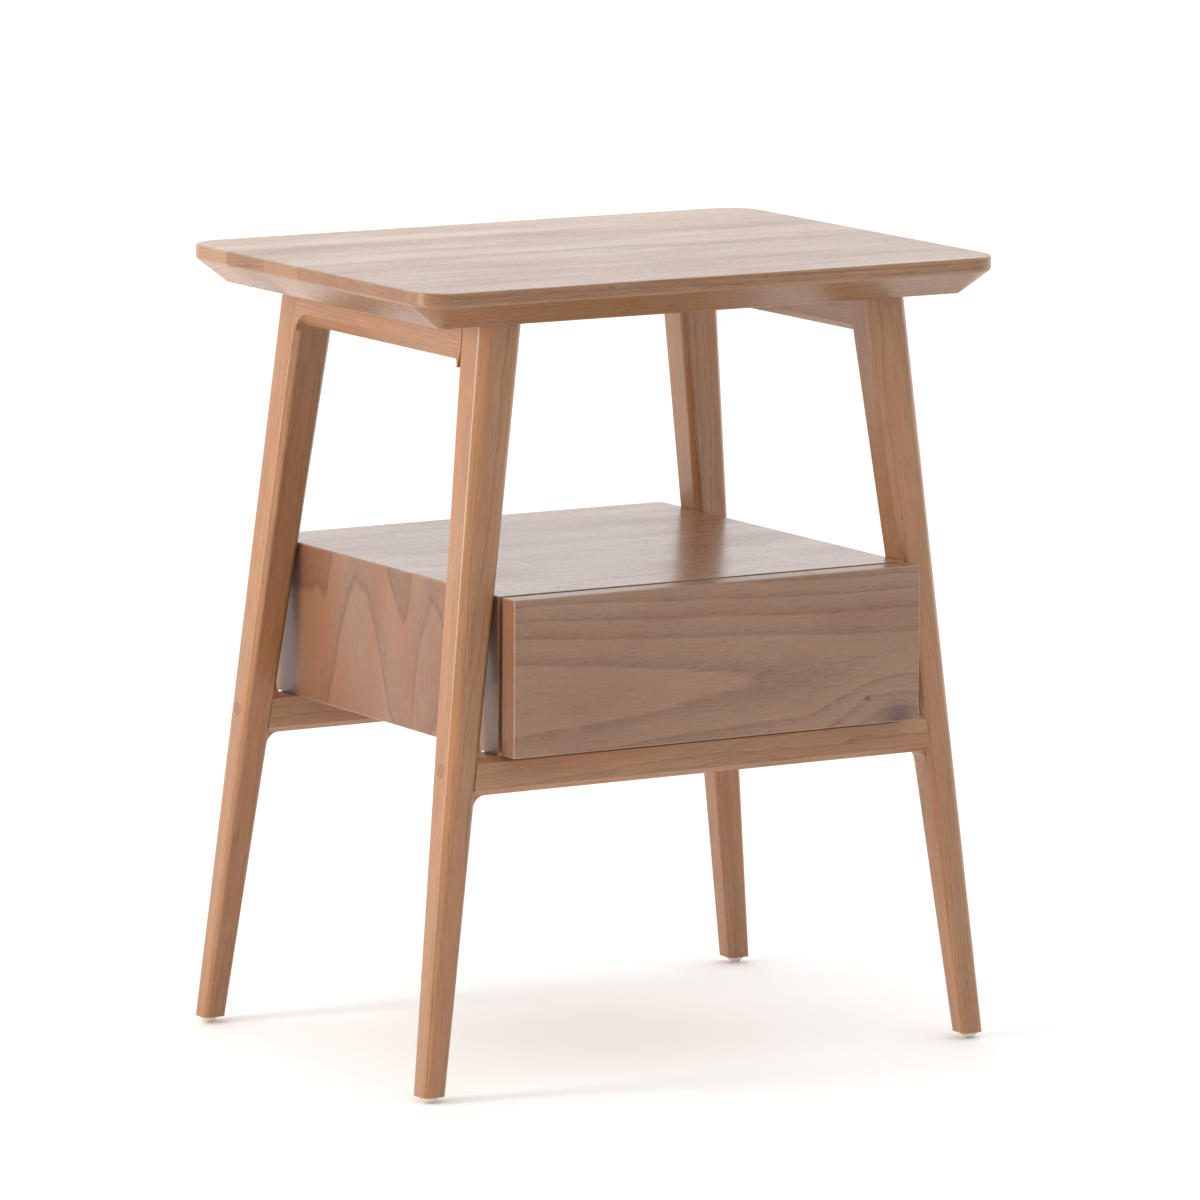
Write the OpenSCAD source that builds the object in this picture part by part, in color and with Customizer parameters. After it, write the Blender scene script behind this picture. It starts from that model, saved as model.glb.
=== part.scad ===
// Side table with one drawer. Four splayed, tapered legs, two side rails and two stretchers
// carry a thick bevelled top and a mitred drawer case. The drawer runs on ball slides.
// Front is -Y, the left side is -X, and the floor is at Z = 0.

/* [Overall] */
// Width of the tabletop, side to side
table_w = 500; // [490:2:520]
// Depth of the tabletop, front to back
table_d = 372; // [368:2:380]
// Height from the floor to the tabletop
table_h = 600; // [580:5:630]

/* [Tabletop] */
// Thickness of the tabletop
top_t = 29; // [26:1:32]
// Height of the upright band along the tabletop's edge
edge_band = 10.5; // [8:0.5:14]
// How far the bevel under the edge cuts in
bevel_in = 24; // [18:1:27]
// Corner radius of the tabletop, seen from above
corner_r = 28; // [28:1:40]

/* [Legs] */
// Side of the leg's square section under the tabletop
leg_top = 35; // [33:0.5:36]
// Side of the leg's square section at the foot
leg_foot = 19; // [18:0.5:22]
// Outward lean of the legs, seen from the front
splay_x = 7; // [6.8:0.1:7.4]
// Outward lean of the legs, seen from the side
splay_y = 3.25; // [3:0.05:3.5]
// From the tabletop's side edge to the leg's centre, just under the tabletop
leg_inset_x = 82.5; // [80:0.5:83]
// From the tabletop's front edge to the leg's centre, just under the tabletop
leg_inset_y = 50.5; // [49:0.5:52]
// Height of the glide under each leg
glide_h = 5; // [4:0.5:8]
// Width of the glide where it meets the leg
glide_d = 14.5; // [12:0.5:16]

/* [Rails and stretchers] */
// Height of the side rails
rail_h = 31; // [31:1:36]
// Thickness of the side rails
rail_t = 24; // [22:1:26]
// Radius of the rounded corner between rail and leg
rail_ear_r = 15; // [12:1:16]
// Height of the stretchers
stretcher_h = 28; // [26:1:32]
// Thickness of the stretchers
stretcher_t = 25; // [22:0.5:25]
// Radius of the rounded corner between stretcher and leg
stretcher_ear_r = 10; // [6:1:10]
// Height from the floor to the stretchers' upper face
shelf_z = 252.5; // [245:0.5:256]

/* [Case] */
// Width of the drawer case
case_w = 354; // [350:1:354]
// Height of the drawer case
case_h = 118.5; // [114:0.5:120]
// From the centre line to the case's front edges
case_front = 163; // [162:0.5:164]
// From the centre line to the case's rear edges
case_rear = 184.5; // [182:0.5:185]
// Thickness of the case's panels
panel_t = 15; // [15:0.5:16]
// Thickness of the case's back
back_t = 6; // [5:0.5:8]

/* [Drawer] */
// Thickness of the drawer front
front_t = 18; // [16:0.5:19]
// Gap between the case and the closed drawer front
front_gap = 5; // [4:0.5:5]
// Height of the drawer box
box_h = 72; // [60:1:74]
// Length of the drawer box
box_l = 300; // [295:1:320]
// Thickness of the drawer box's sides
side_t = 12; // [11:0.5:13]
// Thickness of the drawer's bottom
bottom_t = 5; // [4:0.5:6]
// How far the drawer pulls out
travel = 280; // [200:10:280]

/* [Slides] */
// Thickness of a ball slide, from the case to the drawer box
slide_t = 12.7; // [12.6:0.1:13]
// Length of a ball slide
slide_l = 300; // [300:1:310]

/* [Hidden] */

SIDES = [-1, 1];
$fn = 48;
eps = 0.01;               // thickness of a slab that only guides a hull
fit = 0.05;               // radial clearance of a dowel or screw in its hole
play = 0.5;               // free space at the end of a dowel, screw or loose panel
over = 1;                 // how far a cutter runs past the face that it cuts
under = table_h - top_t;  // height of the tabletop's underside

// Legs: centre line, half width and the heights of their faces, all straight in z
leg_x0 = table_w / 2 - leg_inset_x;
leg_y0 = table_d / 2 - leg_inset_y;
leg_outer_chamfer = 0.2;
leg_inner_chamfer = 0.14;
function leg_half(z) = (leg_top - (leg_top - leg_foot) * (under - z) / (under - glide_h)) / 2;
function leg_x(z) = leg_x0 + tan(splay_x) * (under - z);
function leg_y(z) = leg_y0 + tan(splay_y) * (under - z);
function outer_x(z) = leg_x(z) + leg_half(z);
function inner_x(z) = leg_x(z) - leg_half(z);
function outer_y(z) = leg_y(z) + leg_half(z);
function inner_y(z) = leg_y(z) - leg_half(z);
slope_in_x = inner_x(0) / under - inner_x(under) / under;
slope_in_y = inner_y(0) / under - inner_y(under) / under;

// Rails and stretchers
rail_z = under - rail_h;
rail_bevel_w = 9;
rail_bevel_h = 10;
rail_chamfer = 5;
ear_wrap = 2.4;           // how far a stretcher's end wraps round the leg's chamfer
stretcher_z = shelf_z - stretcher_h;
stretcher_chamfer = 4;
arris = 1;                // small chamfer along the stretcher's inner top edge

// Dowels, screws and plugs
dowel_r = 4;
rail_dowel_l = 36;
rail_dowel_drops = [9, 22];
rail_dowel_x = 10;        // from the rail's outer face
stretcher_dowel_l = 34;
stretcher_dowel_drop = 20.5;
stretcher_dowel_in = 2;   // the stretcher dowel sits this much deeper in the stretcher
plug_r = 5;
plug_t = 5;
leg_screw_drop = 9;
leg_screw_l = 60;
leg_screw_r = 2.6;
leg_screw_head_r = 4.6;
leg_screw_head_t = 4;
top_screw_ys = [-85, 0, 85];
top_screw_r = 2.25;
top_screw_head_r = 4.2;
top_screw_head_t = 3;
top_screw_sink = 8;
top_screw_grip = 17;      // length of screw inside the tabletop
case_screw_x = 115;
case_screw_grip = 11;
case_screw_sink = 7;
recess_r = 1.5;           // driver recess of the screws
small_recess_r = 0.9;     // and of the small ones

// Case
case_z0 = shelf_z;
case_z1 = case_z0 + case_h;
case_x = case_w / 2;
rebate = 8;
spline_w = 8;
spline_t = 3;
spline_end = 13;          // from a panel's end to the end of its spline
back_screw_r = 1.6;
back_screw_l = 16;
back_screw_head_r = 3.2;
back_screw_head_t = 2;
back_screw_xs = [-110, 0, 110];
back_screw_sink = 0.2;    // how far the heads lie below the back's face
back_clear = 0.2;         // gap round the back in its rebate

// Drawer
front_y = -(case_front + front_gap);
box_x = case_x - panel_t - slide_t;
box_z0 = (case_z0 + case_z1) / 2 - box_h / 2 - 2;
box_z1 = box_z0 + box_h;
box_y0 = front_y;
box_y1 = front_y + box_l;
front_z0 = case_z0 + 1;
groove_lift = 8;
groove_depth = 6;
box_dowel_r = 3;
box_dowel_l = 24;
box_dowel_in = 8;         // depth of a box dowel in the drawer side
box_dowel_drops = [16, 46];
front_screw_r = 2;
front_screw_grip = 11;
front_screw_head_r = 3.8;
front_screw_head_t = 2.2;
front_screw_xs = [-95, 95];
front_screw_lifts = [-16, 16];  // from the middle of the box's height

// Slides: s runs from the case's wall towards the drawer, t runs up from the slide's middle
slide_z = (box_z0 + box_z1) / 2;
slide_wall = 1.2;
slide_y0 = -case_front + 3;
outer_half = 22.5;
outer_deep = 10.5;
middle_s = 2.6;
middle_half = 16.5;
middle_deep = 10.6;
middle_l = slide_l - 14;
inner_half = 10.5;
inner_deep = 7;
ball_r = 2.36;
ball_s = 7;
ball_gap = 0.04;
ball_count = 6;
ball_pitch = 18;
cage_l = 104;
cage_w = 5.4;
cage_t = 0.8;
cage_y0 = -62;
outer_row_t = (outer_half - slide_wall + middle_half) / 2;
inner_row_t = (middle_half - slide_wall + inner_half) / 2;
slide_screw_r = 1.7;
slide_screw_head_r = 3.2;
slide_screw_head_t = 0.95;
slide_screw_l = 12;
case_slide_screw_ys = [-140, -10, 120];
box_slide_screw_ys = [-145, -20, 105];

// Glides
nail_r = 1.1;
nail_l = 16;
nail_head_r = 3.4;
nail_head_t = 1;
nail_head_z = 1.8;
glide_tip_d = 7;
glide_rim = 1.2;

// Timber colours
oak_warm = [0.68, 0.47, 0.33];
oak_pale = [0.76, 0.56, 0.41];
veneer = [0.60, 0.46, 0.38];
birch = [0.82, 0.70, 0.54];
steel = [0.72, 0.73, 0.74];

// ---- Shared shapes -------------------------------------------------------------------------

// A cylinder lying along X, from x0 to x1
module rod_x(x0, x1, y, z, r) {
    translate([min(x0, x1), y, z]) rotate([0, 90, 0]) cylinder(r = r, h = abs(x1 - x0));
}

// A cylinder lying along Y, from y0 to y1
module rod_y(x, y0, y1, z, r) {
    translate([x, max(y0, y1), z]) rotate([90, 0, 0]) cylinder(r = r, h = abs(y1 - y0));
}

// An upright cylinder, from z0 to z1
module rod_z(x, y, z0, z1, r) {
    translate([x, y, z0]) cylinder(r = r, h = z1 - z0);
}

// A box given by its low and high corners
module block(low, high) {
    translate(low) cube(high - low);
}

// A flat outline in X and Z, stretched along Y from y0 to y1
module along_y(y0, y1) {
    translate([0, y1, 0]) rotate([90, 0, 0]) linear_extrude(y1 - y0) children();
}

// A flat outline in Y and Z, stretched along X from x0 to x1
module along_x(x0, x1) {
    translate([x0, 0, 0]) rotate([90, 0, 90]) linear_extrude(x1 - x0) children();
}

// ---- Legs ----------------------------------------------------------------------------------

// Section of a leg: a square with its corners cut off, most of all at the outer corner
module leg_section(sx, sy, half) {
    co = leg_outer_chamfer * 2 * half;
    ci = leg_inner_chamfer * 2 * half;
    scale([sx, sy]) polygon([
        [half, half - co], [half - co, half], [ci - half, half], [-half, half - ci],
        [-half, ci - half], [ci - half, -half], [half - ci, -half], [half, ci - half]]);
}

module leg_solid(sx, sy) {
    hull() for (z = [glide_h, under - eps]) {
        translate([sx * leg_x(z), sy * leg_y(z), z])
            linear_extrude(eps) leg_section(sx, sy, leg_half(z));
    }
}

// Centre of the screw that holds a stretcher's end
leg_screw_z = shelf_z - leg_screw_drop;
leg_screw_y = leg_y(leg_screw_z);
leg_screw_head_x = outer_x(leg_screw_z) - plug_t - over;

module leg(sx, sy) {
    dowel_z = shelf_z - stretcher_dowel_drop;
    color(oak_warm) difference() {
        leg_solid(sx, sy);
        // Stretcher screw with its counterbore
        rod_x(0, sx * (outer_x(0) + over), sy * leg_screw_y, leg_screw_z, leg_screw_r + fit);
        rod_x(sx * (leg_screw_head_x - leg_screw_head_t), sx * (outer_x(0) + over),
            sy * leg_screw_y, leg_screw_z, plug_r);
        // Stretcher dowel
        rod_x(0, sx * (inner_x(dowel_z) + stretcher_dowel_l / 2 - stretcher_dowel_in),
            sy * leg_y(dowel_z), dowel_z, dowel_r + fit);
        // Rail dowels
        for (drop = rail_dowel_drops) rod_y(sx * (outer_x(under - drop) - rail_dowel_x), 0,
            sy * (inner_y(under - drop) + rail_dowel_l / 2), under - drop, dowel_r + fit);
        // Nail of the glide
        rod_z(sx * leg_x(0), sy * leg_y(0), 0, glide_h + nail_l, nail_r + fit);
    }
}

module leg_front_left() { leg(-1, -1); }
module leg_front_right() { leg(1, -1); }
module leg_rear_left() { leg(-1, 1); }
module leg_rear_right() { leg(1, 1); }

// ---- Side rails ----------------------------------------------------------------------------

// An ear's hollow is a cone: narrow under the rail, wide at its outer face, level with the bevel
rail_ear_z = rail_z + rail_bevel_h - rail_ear_r;
rail_ear_in = rail_ear_r - rail_bevel_h;
rail_lean = sqrt(1 + slope_in_y * slope_in_y);
rail_low = rail_ear_z + rail_ear_r * slope_in_y / rail_lean;
rail_wrap = 0.92 * leg_inner_chamfer * 2 * leg_half(rail_low);
rail_fade_z = rail_low + 12;    // below this height the wrap fades towards the ear's tip
rail_tip_wrap = 0.4;
bevel_x0 = outer_x(rail_z) - rail_bevel_w;
bevel_x1 = outer_x(rail_z + rail_bevel_h);
bevel_past = 4;           // how far the bevel's cutter runs on past the outer face
bevel_end_r = rail_ear_r + rail_bevel_h * bevel_past / (bevel_x1 - bevel_x0);

// Side view of a rail before its hollows are cut
module rail_side_view() {
    polygon([
        [-inner_y(under) - rail_wrap, under], [inner_y(under) + rail_wrap, under],
        [inner_y(rail_fade_z) + rail_wrap, rail_fade_z],
        [inner_y(rail_low) + rail_tip_wrap, rail_low],
        [-inner_y(rail_low) - rail_tip_wrap, rail_low],
        [-inner_y(rail_fade_z) - rail_wrap, rail_fade_z]]);
}

// End view of the right rail: flush with the legs outside, chamfered along its inner lower edge
module rail_end_view() {
    polygon([
        [outer_x(under), under], [outer_x(rail_low), rail_low],
        [outer_x(rail_low) - rail_t + rail_chamfer, rail_low],
        [outer_x(rail_z) - rail_t + rail_chamfer, rail_z],
        [outer_x(rail_z + rail_chamfer) - rail_t, rail_z + rail_chamfer],
        [outer_x(under) - rail_t, under]]);
}

// Two thin discs that touch the front and rear legs' inner faces
module ear_discs(x, r) {
    for (sy = SIDES) rod_x(x, x + eps, sy * (inner_y(rail_ear_z) - r * rail_lean), rail_ear_z, r);
}

// All that is cut away under the right rail: a level slot inside, and the bevel with its cones
module rail_hollow() {
    hull() {
        ear_discs(outer_x(rail_z) - rail_t - over, rail_ear_in);
        ear_discs(bevel_x0, rail_ear_in);
    }
    hull() {
        ear_discs(bevel_x0, rail_ear_in);
        ear_discs(bevel_x1 + bevel_past, bevel_end_r);
    }
}

// The top screws stand in the middle of the rail's flat underside
top_screw_x = outer_x(rail_z) - (rail_bevel_w + rail_t - rail_chamfer) / 2;

module rail(sx) {
    color(oak_warm) difference() {
        intersection() {
            along_y(-table_d / 2, table_d / 2) scale([sx, 1]) rail_end_view();
            along_x(min(0, sx * table_w / 2), max(0, sx * table_w / 2)) rail_side_view();
        }
        scale([sx, 1, 1]) rail_hollow();
        for (sy = SIDES) leg_solid(sx, sy);
        for (drop = rail_dowel_drops, sy = SIDES) rod_y(sx * (outer_x(under - drop) - rail_dowel_x),
            sy * table_d / 2, sy * (inner_y(under - drop) - rail_dowel_l / 2), under - drop,
            dowel_r + fit);
        for (y = top_screw_ys) {
            rod_z(sx * top_screw_x, y, rail_z - over, under + over, top_screw_r + fit);
            rod_z(sx * top_screw_x, y, rail_z - over, rail_z + top_screw_sink,
                top_screw_head_r + fit);
        }
    }
}

module rail_left() { rail(-1); }
module rail_right() { rail(1); }

// ---- Stretchers ----------------------------------------------------------------------------

// Front view of a stretcher: a bar with quarter-round ears above and below at both legs
module stretcher_front_view() {
    r = stretcher_ear_r;
    lean = sqrt(1 + slope_in_x * slope_in_x);
    low_cz = stretcher_z - r;
    low_cx = inner_x(low_cz) - r * lean;
    low_z = low_cz + r * slope_in_x / lean;
    high_cz = shelf_z + r;
    high_cx = inner_x(high_cz) - r * lean;
    high_z = high_cz + r * slope_in_x / lean;
    difference() {
        polygon([
            [-high_cx, shelf_z], [high_cx, shelf_z], [high_cx, high_z],
            [inner_x(high_z) + ear_wrap, high_z], [inner_x(low_z) + ear_wrap, low_z],
            [low_cx, low_z], [low_cx, stretcher_z], [-low_cx, stretcher_z], [-low_cx, low_z],
            [-inner_x(low_z) - ear_wrap, low_z], [-inner_x(high_z) - ear_wrap, high_z],
            [-high_cx, high_z]]);
        for (s = SIDES) {
            translate([s * low_cx, low_cz]) circle(r);
            translate([s * high_cx, high_cz]) circle(r);
        }
    }
}

// End view of the rear stretcher, flush with the legs' outer faces
module stretcher_end_view() {
    c = stretcher_chamfer;
    t = stretcher_t;
    low = stretcher_z - stretcher_ear_r;
    high = shelf_z + 2 * stretcher_ear_r;
    polygon([
        [outer_y(high) - c, high], [outer_y(shelf_z) - c, shelf_z],
        [outer_y(shelf_z - c), shelf_z - c], [outer_y(stretcher_z + c), stretcher_z + c],
        [outer_y(stretcher_z) - c, stretcher_z], [outer_y(low) - c, low],
        [outer_y(low) - t + c, low], [outer_y(stretcher_z) - t + c, stretcher_z],
        [outer_y(stretcher_z + c) - t, stretcher_z + c],
        [outer_y(shelf_z - arris) - t, shelf_z - arris],
        [outer_y(shelf_z) - t + arris, shelf_z],
        [outer_y(high) - t + c, high]]);
}

// The case screws stand in the middle of the stretcher
case_screw_y = outer_y(shelf_z - stretcher_h / 2) - stretcher_t / 2;

module stretcher(sy) {
    dowel_z = shelf_z - stretcher_dowel_drop;
    color(oak_warm) difference() {
        intersection() {
            along_x(-table_w / 2, table_w / 2) scale([sy, 1]) stretcher_end_view();
            along_y(min(0, sy * table_d / 2), max(0, sy * table_d / 2)) stretcher_front_view();
        }
        for (sx = SIDES) {
            leg_solid(sx, sy);
            rod_x(sx * (leg_screw_head_x - leg_screw_l), sx * table_w / 2, sy * leg_screw_y,
                leg_screw_z, leg_screw_r + fit);
            rod_x(sx * (inner_x(dowel_z) - stretcher_dowel_l / 2 - stretcher_dowel_in),
                sx * table_w / 2, sy * leg_y(dowel_z), dowel_z, dowel_r + fit);
            rod_z(sx * case_screw_x, sy * case_screw_y, stretcher_z - over, shelf_z + over,
                top_screw_r + fit);
            rod_z(sx * case_screw_x, sy * case_screw_y, stretcher_z - over,
                stretcher_z + case_screw_sink, top_screw_head_r + fit);
        }
    }
}

module stretcher_front() { stretcher(-1); }
module stretcher_rear() { stretcher(1); }

// ---- Dowels, screws and plugs of the frame -------------------------------------------------

module rail_dowels() {
    color(birch) for (sx = SIDES, sy = SIDES, drop = rail_dowel_drops) {
        y = inner_y(under - drop);
        reach = rail_dowel_l / 2 - 2 * play;
        rod_y(sx * (outer_x(under - drop) - rail_dowel_x), sy * (y - reach),
            sy * (y + reach), under - drop, dowel_r);
    }
}

module stretcher_dowels() {
    z = shelf_z - stretcher_dowel_drop;
    centre = inner_x(z) - stretcher_dowel_in;
    reach = stretcher_dowel_l / 2 - 2 * play;
    color(birch) for (sx = SIDES, sy = SIDES)
        rod_x(sx * (centre - reach), sx * (centre + reach), sy * leg_y(z), z, dowel_r);
}

// One screw through each leg into the stretcher's end, with a driver recess in its head
module stretcher_screws() {
    x = leg_screw_head_x;
    color(steel) for (sx = SIDES, sy = SIDES) difference() {
        union() {
            rod_x(sx * (x - leg_screw_head_t), sx * x, sy * leg_screw_y, leg_screw_z,
                leg_screw_head_r);
            rod_x(sx * (x - leg_screw_l + over), sx * (x - leg_screw_head_t + over),
                sy * leg_screw_y, leg_screw_z, leg_screw_r);
        }
        rod_x(sx * (x - leg_screw_head_t / 2), sx * (x + over), sy * leg_screw_y,
            leg_screw_z, recess_r);
    }
}

// Round wooden plugs that hide the screws, trimmed flush with the legs' outer faces
module leg_plugs() {
    color(oak_pale) for (sx = SIDES, sy = SIDES) intersection() {
        rod_x(sx * leg_screw_head_x, sx * table_w / 2, sy * leg_screw_y, leg_screw_z, plug_r);
        leg_solid(sx, sy);
    }
}

// A screw standing head down, its head's underside at z
module upright_screw(x, y, z, tip_z) {
    difference() {
        union() {
            rod_z(x, y, z - top_screw_head_t, z, top_screw_head_r);
            rod_z(x, y, z - over, tip_z, top_screw_r);
        }
        rod_z(x, y, z - top_screw_head_t - over, z - over, recess_r);
    }
}

module top_screws() {
    color(steel) for (sx = SIDES, y = top_screw_ys)
        upright_screw(sx * top_screw_x, y, rail_z + top_screw_sink, under + top_screw_grip);
}

module case_screws() {
    color(steel) for (sx = SIDES, sy = SIDES) upright_screw(sx * case_screw_x,
        sy * case_screw_y, stretcher_z + case_screw_sink, case_z0 + case_screw_grip);
}

// ---- Tabletop ------------------------------------------------------------------------------

module tabletop() {
    x = table_w / 2 - corner_r;
    y = table_d / 2 - corner_r;
    color(oak_pale) difference() {
        hull() for (sx = SIDES, sy = SIDES) translate([sx * x, sy * y, 0]) {
            translate([0, 0, table_h - edge_band]) cylinder(r = corner_r, h = edge_band);
            translate([0, 0, under]) cylinder(r = corner_r - bevel_in, h = eps);
        }
        for (sx = SIDES, sy = top_screw_ys)
            rod_z(sx * top_screw_x, sy, under - over, under + top_screw_grip + over,
                top_screw_r + fit);
    }
}

// ---- Case ----------------------------------------------------------------------------------

// End view of one of the case's four panels, mitred at both ends, as the top one
module panel_view(w) {
    polygon([[-w / 2, 0], [w / 2, 0], [w / 2 - panel_t, -panel_t], [panel_t - w / 2, -panel_t]]);
}

// Strips glued across the four mitres, seen from the front
module spline_view(w, t) {
    for (sx = SIDES, sz = SIDES)
        translate([sx * (case_x - panel_t / 2), (case_z0 + case_z1) / 2
            + sz * (case_h - panel_t) / 2])
            rotate(sx * sz * 45) square([t, w], center = true);
}

// What is cut from all four panels: grooves for the splines and the rebate for the back
module case_cuts() {
    lip = panel_t - rebate;
    along_y(spline_end - over - case_front, case_rear - spline_end + over)
        spline_view(spline_w + 2 * fit, spline_t + 2 * fit);
    block([lip - case_x, case_rear - back_t, case_z0 + lip],
        [case_x - lip, case_rear + over, case_z1 - lip]);
}

// Holes for the screws that hold the back
function back_screw_places() = let (
    in = panel_t - rebate / 2 + play,
    mid = (case_z0 + case_z1) / 2,
    up = case_h / 2 - in)
    concat([for (sz = SIDES, x = back_screw_xs) [x, mid + sz * up]],
        [for (sx = SIDES) [sx * (case_x - in), mid]]);

module back_pilots() {
    for (p = back_screw_places())
        rod_y(p[0], case_rear - back_screw_l, case_rear, p[1], back_screw_r + fit);
}

module case_top() {
    color(veneer) difference() {
        along_y(-case_front, case_rear) translate([0, case_z1]) panel_view(case_w);
        case_cuts();
        back_pilots();
    }
}

module case_bottom() {
    color(veneer) difference() {
        along_y(-case_front, case_rear) translate([0, case_z0]) scale([1, -1]) panel_view(case_w);
        case_cuts();
        back_pilots();
        for (sx = SIDES, sy = SIDES) rod_z(sx * case_screw_x, sy * case_screw_y, case_z0 - over,
            case_z0 + case_screw_grip + over, top_screw_r + fit);
    }
}

module case_side(sx) {
    color(veneer) difference() {
        along_y(-case_front, case_rear) translate([sx * case_x, (case_z0 + case_z1) / 2])
            rotate(-sx * 90) panel_view(case_h);
        case_cuts();
        back_pilots();
        for (y = case_slide_screw_ys) rod_x(sx * (case_x - panel_t - over),
            sx * (case_x - panel_t + slide_screw_l), y, slide_z, slide_screw_r + fit);
    }
}

module case_left() { case_side(-1); }
module case_right() { case_side(1); }

module case_splines() {
    color(birch) along_y(spline_end - case_front, case_rear - spline_end) spline_view(spline_w, spline_t);
}

module case_back() {
    lip = panel_t - rebate + back_clear;
    color(birch) difference() {
        block([lip - case_x, case_rear - back_t, case_z0 + lip],
            [case_x - lip, case_rear, case_z1 - lip]);
        for (p = back_screw_places()) {
            rod_y(p[0], case_rear - back_t - over, case_rear + over, p[1], back_screw_r + fit);
            rod_y(p[0], case_rear - back_screw_head_t, case_rear + over, p[1],
                back_screw_head_r + fit);
        }
    }
}

module back_screws() {
    color(steel) for (p = back_screw_places()) difference() {
        union() {
            rod_y(p[0], case_rear - back_screw_head_t, case_rear - back_screw_sink, p[1],
                back_screw_head_r);
            rod_y(p[0], case_rear - back_screw_l + over, case_rear - over, p[1], back_screw_r);
        }
        rod_y(p[0], case_rear - over, case_rear + over, p[1], small_recess_r);
    }
}

// ---- Drawer --------------------------------------------------------------------------------

front_screw_places = [for (x = front_screw_xs, lift = front_screw_lifts) [x, slide_z + lift]];

module drawer_front() {
    color(veneer) difference() {
        block([-case_x, front_y - front_t, front_z0], [case_x, front_y, case_z1]);
        for (p = front_screw_places)
            rod_y(p[0], front_y - front_screw_grip - over, front_y + over, p[1],
                front_screw_r + fit);
    }
}

// Groove that holds the drawer's bottom, cut on all four inner faces
module bottom_groove() {
    block([side_t - box_x - groove_depth, box_y0 + side_t - groove_depth, box_z0 + groove_lift],
        [box_x - side_t + groove_depth, box_y1 - side_t + groove_depth,
            box_z0 + groove_lift + bottom_t]);
}

// Dowels at the drawer box's four corners
module box_dowel(sx, y, drop, r, slack) {
    x = box_x - side_t + box_dowel_in;
    rod_x(sx * (x + slack), sx * (x - box_dowel_l - slack), y, box_z1 - drop, r);
}

module box_dowel_set(r, slack) {
    for (sx = SIDES, y = [box_y0 + side_t / 2, box_y1 - side_t / 2], drop = box_dowel_drops)
        box_dowel(sx, y, drop, r, slack);
}

module drawer_side(sx) {
    color(birch) difference() {
        block([min(sx * box_x, sx * (box_x - side_t)), box_y0, box_z0],
            [max(sx * box_x, sx * (box_x - side_t)), box_y1, box_z1]);
        bottom_groove();
        box_dowel_set(box_dowel_r + fit, play);
        for (y = box_slide_screw_ys) rod_x(sx * (box_x + slide_wall - slide_screw_l - play),
            sx * (box_x + over), y, slide_z, slide_screw_r + fit);
    }
}

module drawer_left() { drawer_side(-1); }
module drawer_right() { drawer_side(1); }

module drawer_inner_front() {
    color(birch) difference() {
        block([side_t - box_x, box_y0, box_z0], [box_x - side_t, box_y0 + side_t, box_z1]);
        bottom_groove();
        box_dowel_set(box_dowel_r + fit, play);
        for (p = front_screw_places)
            rod_y(p[0], box_y0 - over, box_y0 + side_t + over, p[1], front_screw_r + fit);
    }
}

module drawer_rear() {
    color(birch) difference() {
        block([side_t - box_x, box_y1 - side_t, box_z0], [box_x - side_t, box_y1, box_z1]);
        bottom_groove();
        box_dowel_set(box_dowel_r + fit, play);
    }
}

module drawer_bottom() {
    color(birch) block([side_t - box_x - groove_depth + play,
        box_y0 + side_t - groove_depth + play, box_z0 + groove_lift],
        [box_x - side_t + groove_depth - play, box_y1 - side_t + groove_depth - play,
            box_z0 + groove_lift + bottom_t]);
}

module drawer_dowels() {
    color(birch) box_dowel_set(box_dowel_r, 0);
}

module front_screws() {
    y = box_y0 + side_t;
    color(steel) for (p = front_screw_places) difference() {
        union() {
            rod_y(p[0], y, y + front_screw_head_t, p[1], front_screw_head_r);
            rod_y(p[0], y + over, front_y - front_screw_grip, p[1], front_screw_r);
        }
        rod_y(p[0], y + over, y + front_screw_head_t + over, p[1], recess_r);
    }
}

// ---- Ball slides ---------------------------------------------------------------------------

// Places a slide's outline: s from the case's wall inwards, t up from the slide's middle
module slide_run(sx, y0, y1) {
    along_y(y0, y1) translate([sx * (case_x - panel_t), slide_z]) scale([-sx, 1]) children();
}

// A channel from s0 to s1 with its web at s0 or, for a turned one, at s1
module channel(s0, s1, half, turned) {
    web = turned ? s1 - slide_wall : s0;
    translate([web, -half]) square([slide_wall, 2 * half]);
    for (t = [-half, half - slide_wall]) translate([s0, t]) square([s1 - s0, slide_wall]);
}

module slide_case(sx) {
    color(steel) difference() {
        slide_run(sx, slide_y0, slide_y0 + slide_l) channel(0, outer_deep, outer_half, false);
        for (y = case_slide_screw_ys) rod_x(sx * case_x,
            sx * (case_x - panel_t - slide_wall - over), y, slide_z, slide_screw_r + fit);
    }
}

module slide_case_left() { slide_case(-1); }
module slide_case_right() { slide_case(1); }

module slide_middle(sx) {
    color(steel) slide_run(sx, slide_y0, slide_y0 + middle_l)
        channel(middle_s, middle_deep, middle_half, false);
}

module slide_middle_left() { slide_middle(-1); }
module slide_middle_right() { slide_middle(1); }

module slide_drawer(sx) {
    color(steel) difference() {
        slide_run(sx, slide_y0, slide_y0 + slide_l - 10)
            channel(slide_t - inner_deep, slide_t, inner_half, true);
        for (y = box_slide_screw_ys) rod_x(sx * (box_x - over),
            sx * (box_x + slide_wall + over), y, slide_z, slide_screw_r + fit);
    }
}

module slide_drawer_left() { slide_drawer(-1); }
module slide_drawer_right() { slide_drawer(1); }

// One row of balls above and one below, in the space between two channels
module ball_rows(sx, row_t, r) {
    first = cage_y0 + (cage_l - (ball_count - 1) * ball_pitch) / 2;
    for (st = SIDES, i = [0:ball_count - 1])
        translate([sx * (case_x - panel_t - ball_s), first + i * ball_pitch, slide_z + st * row_t])
            sphere(r);
}

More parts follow.
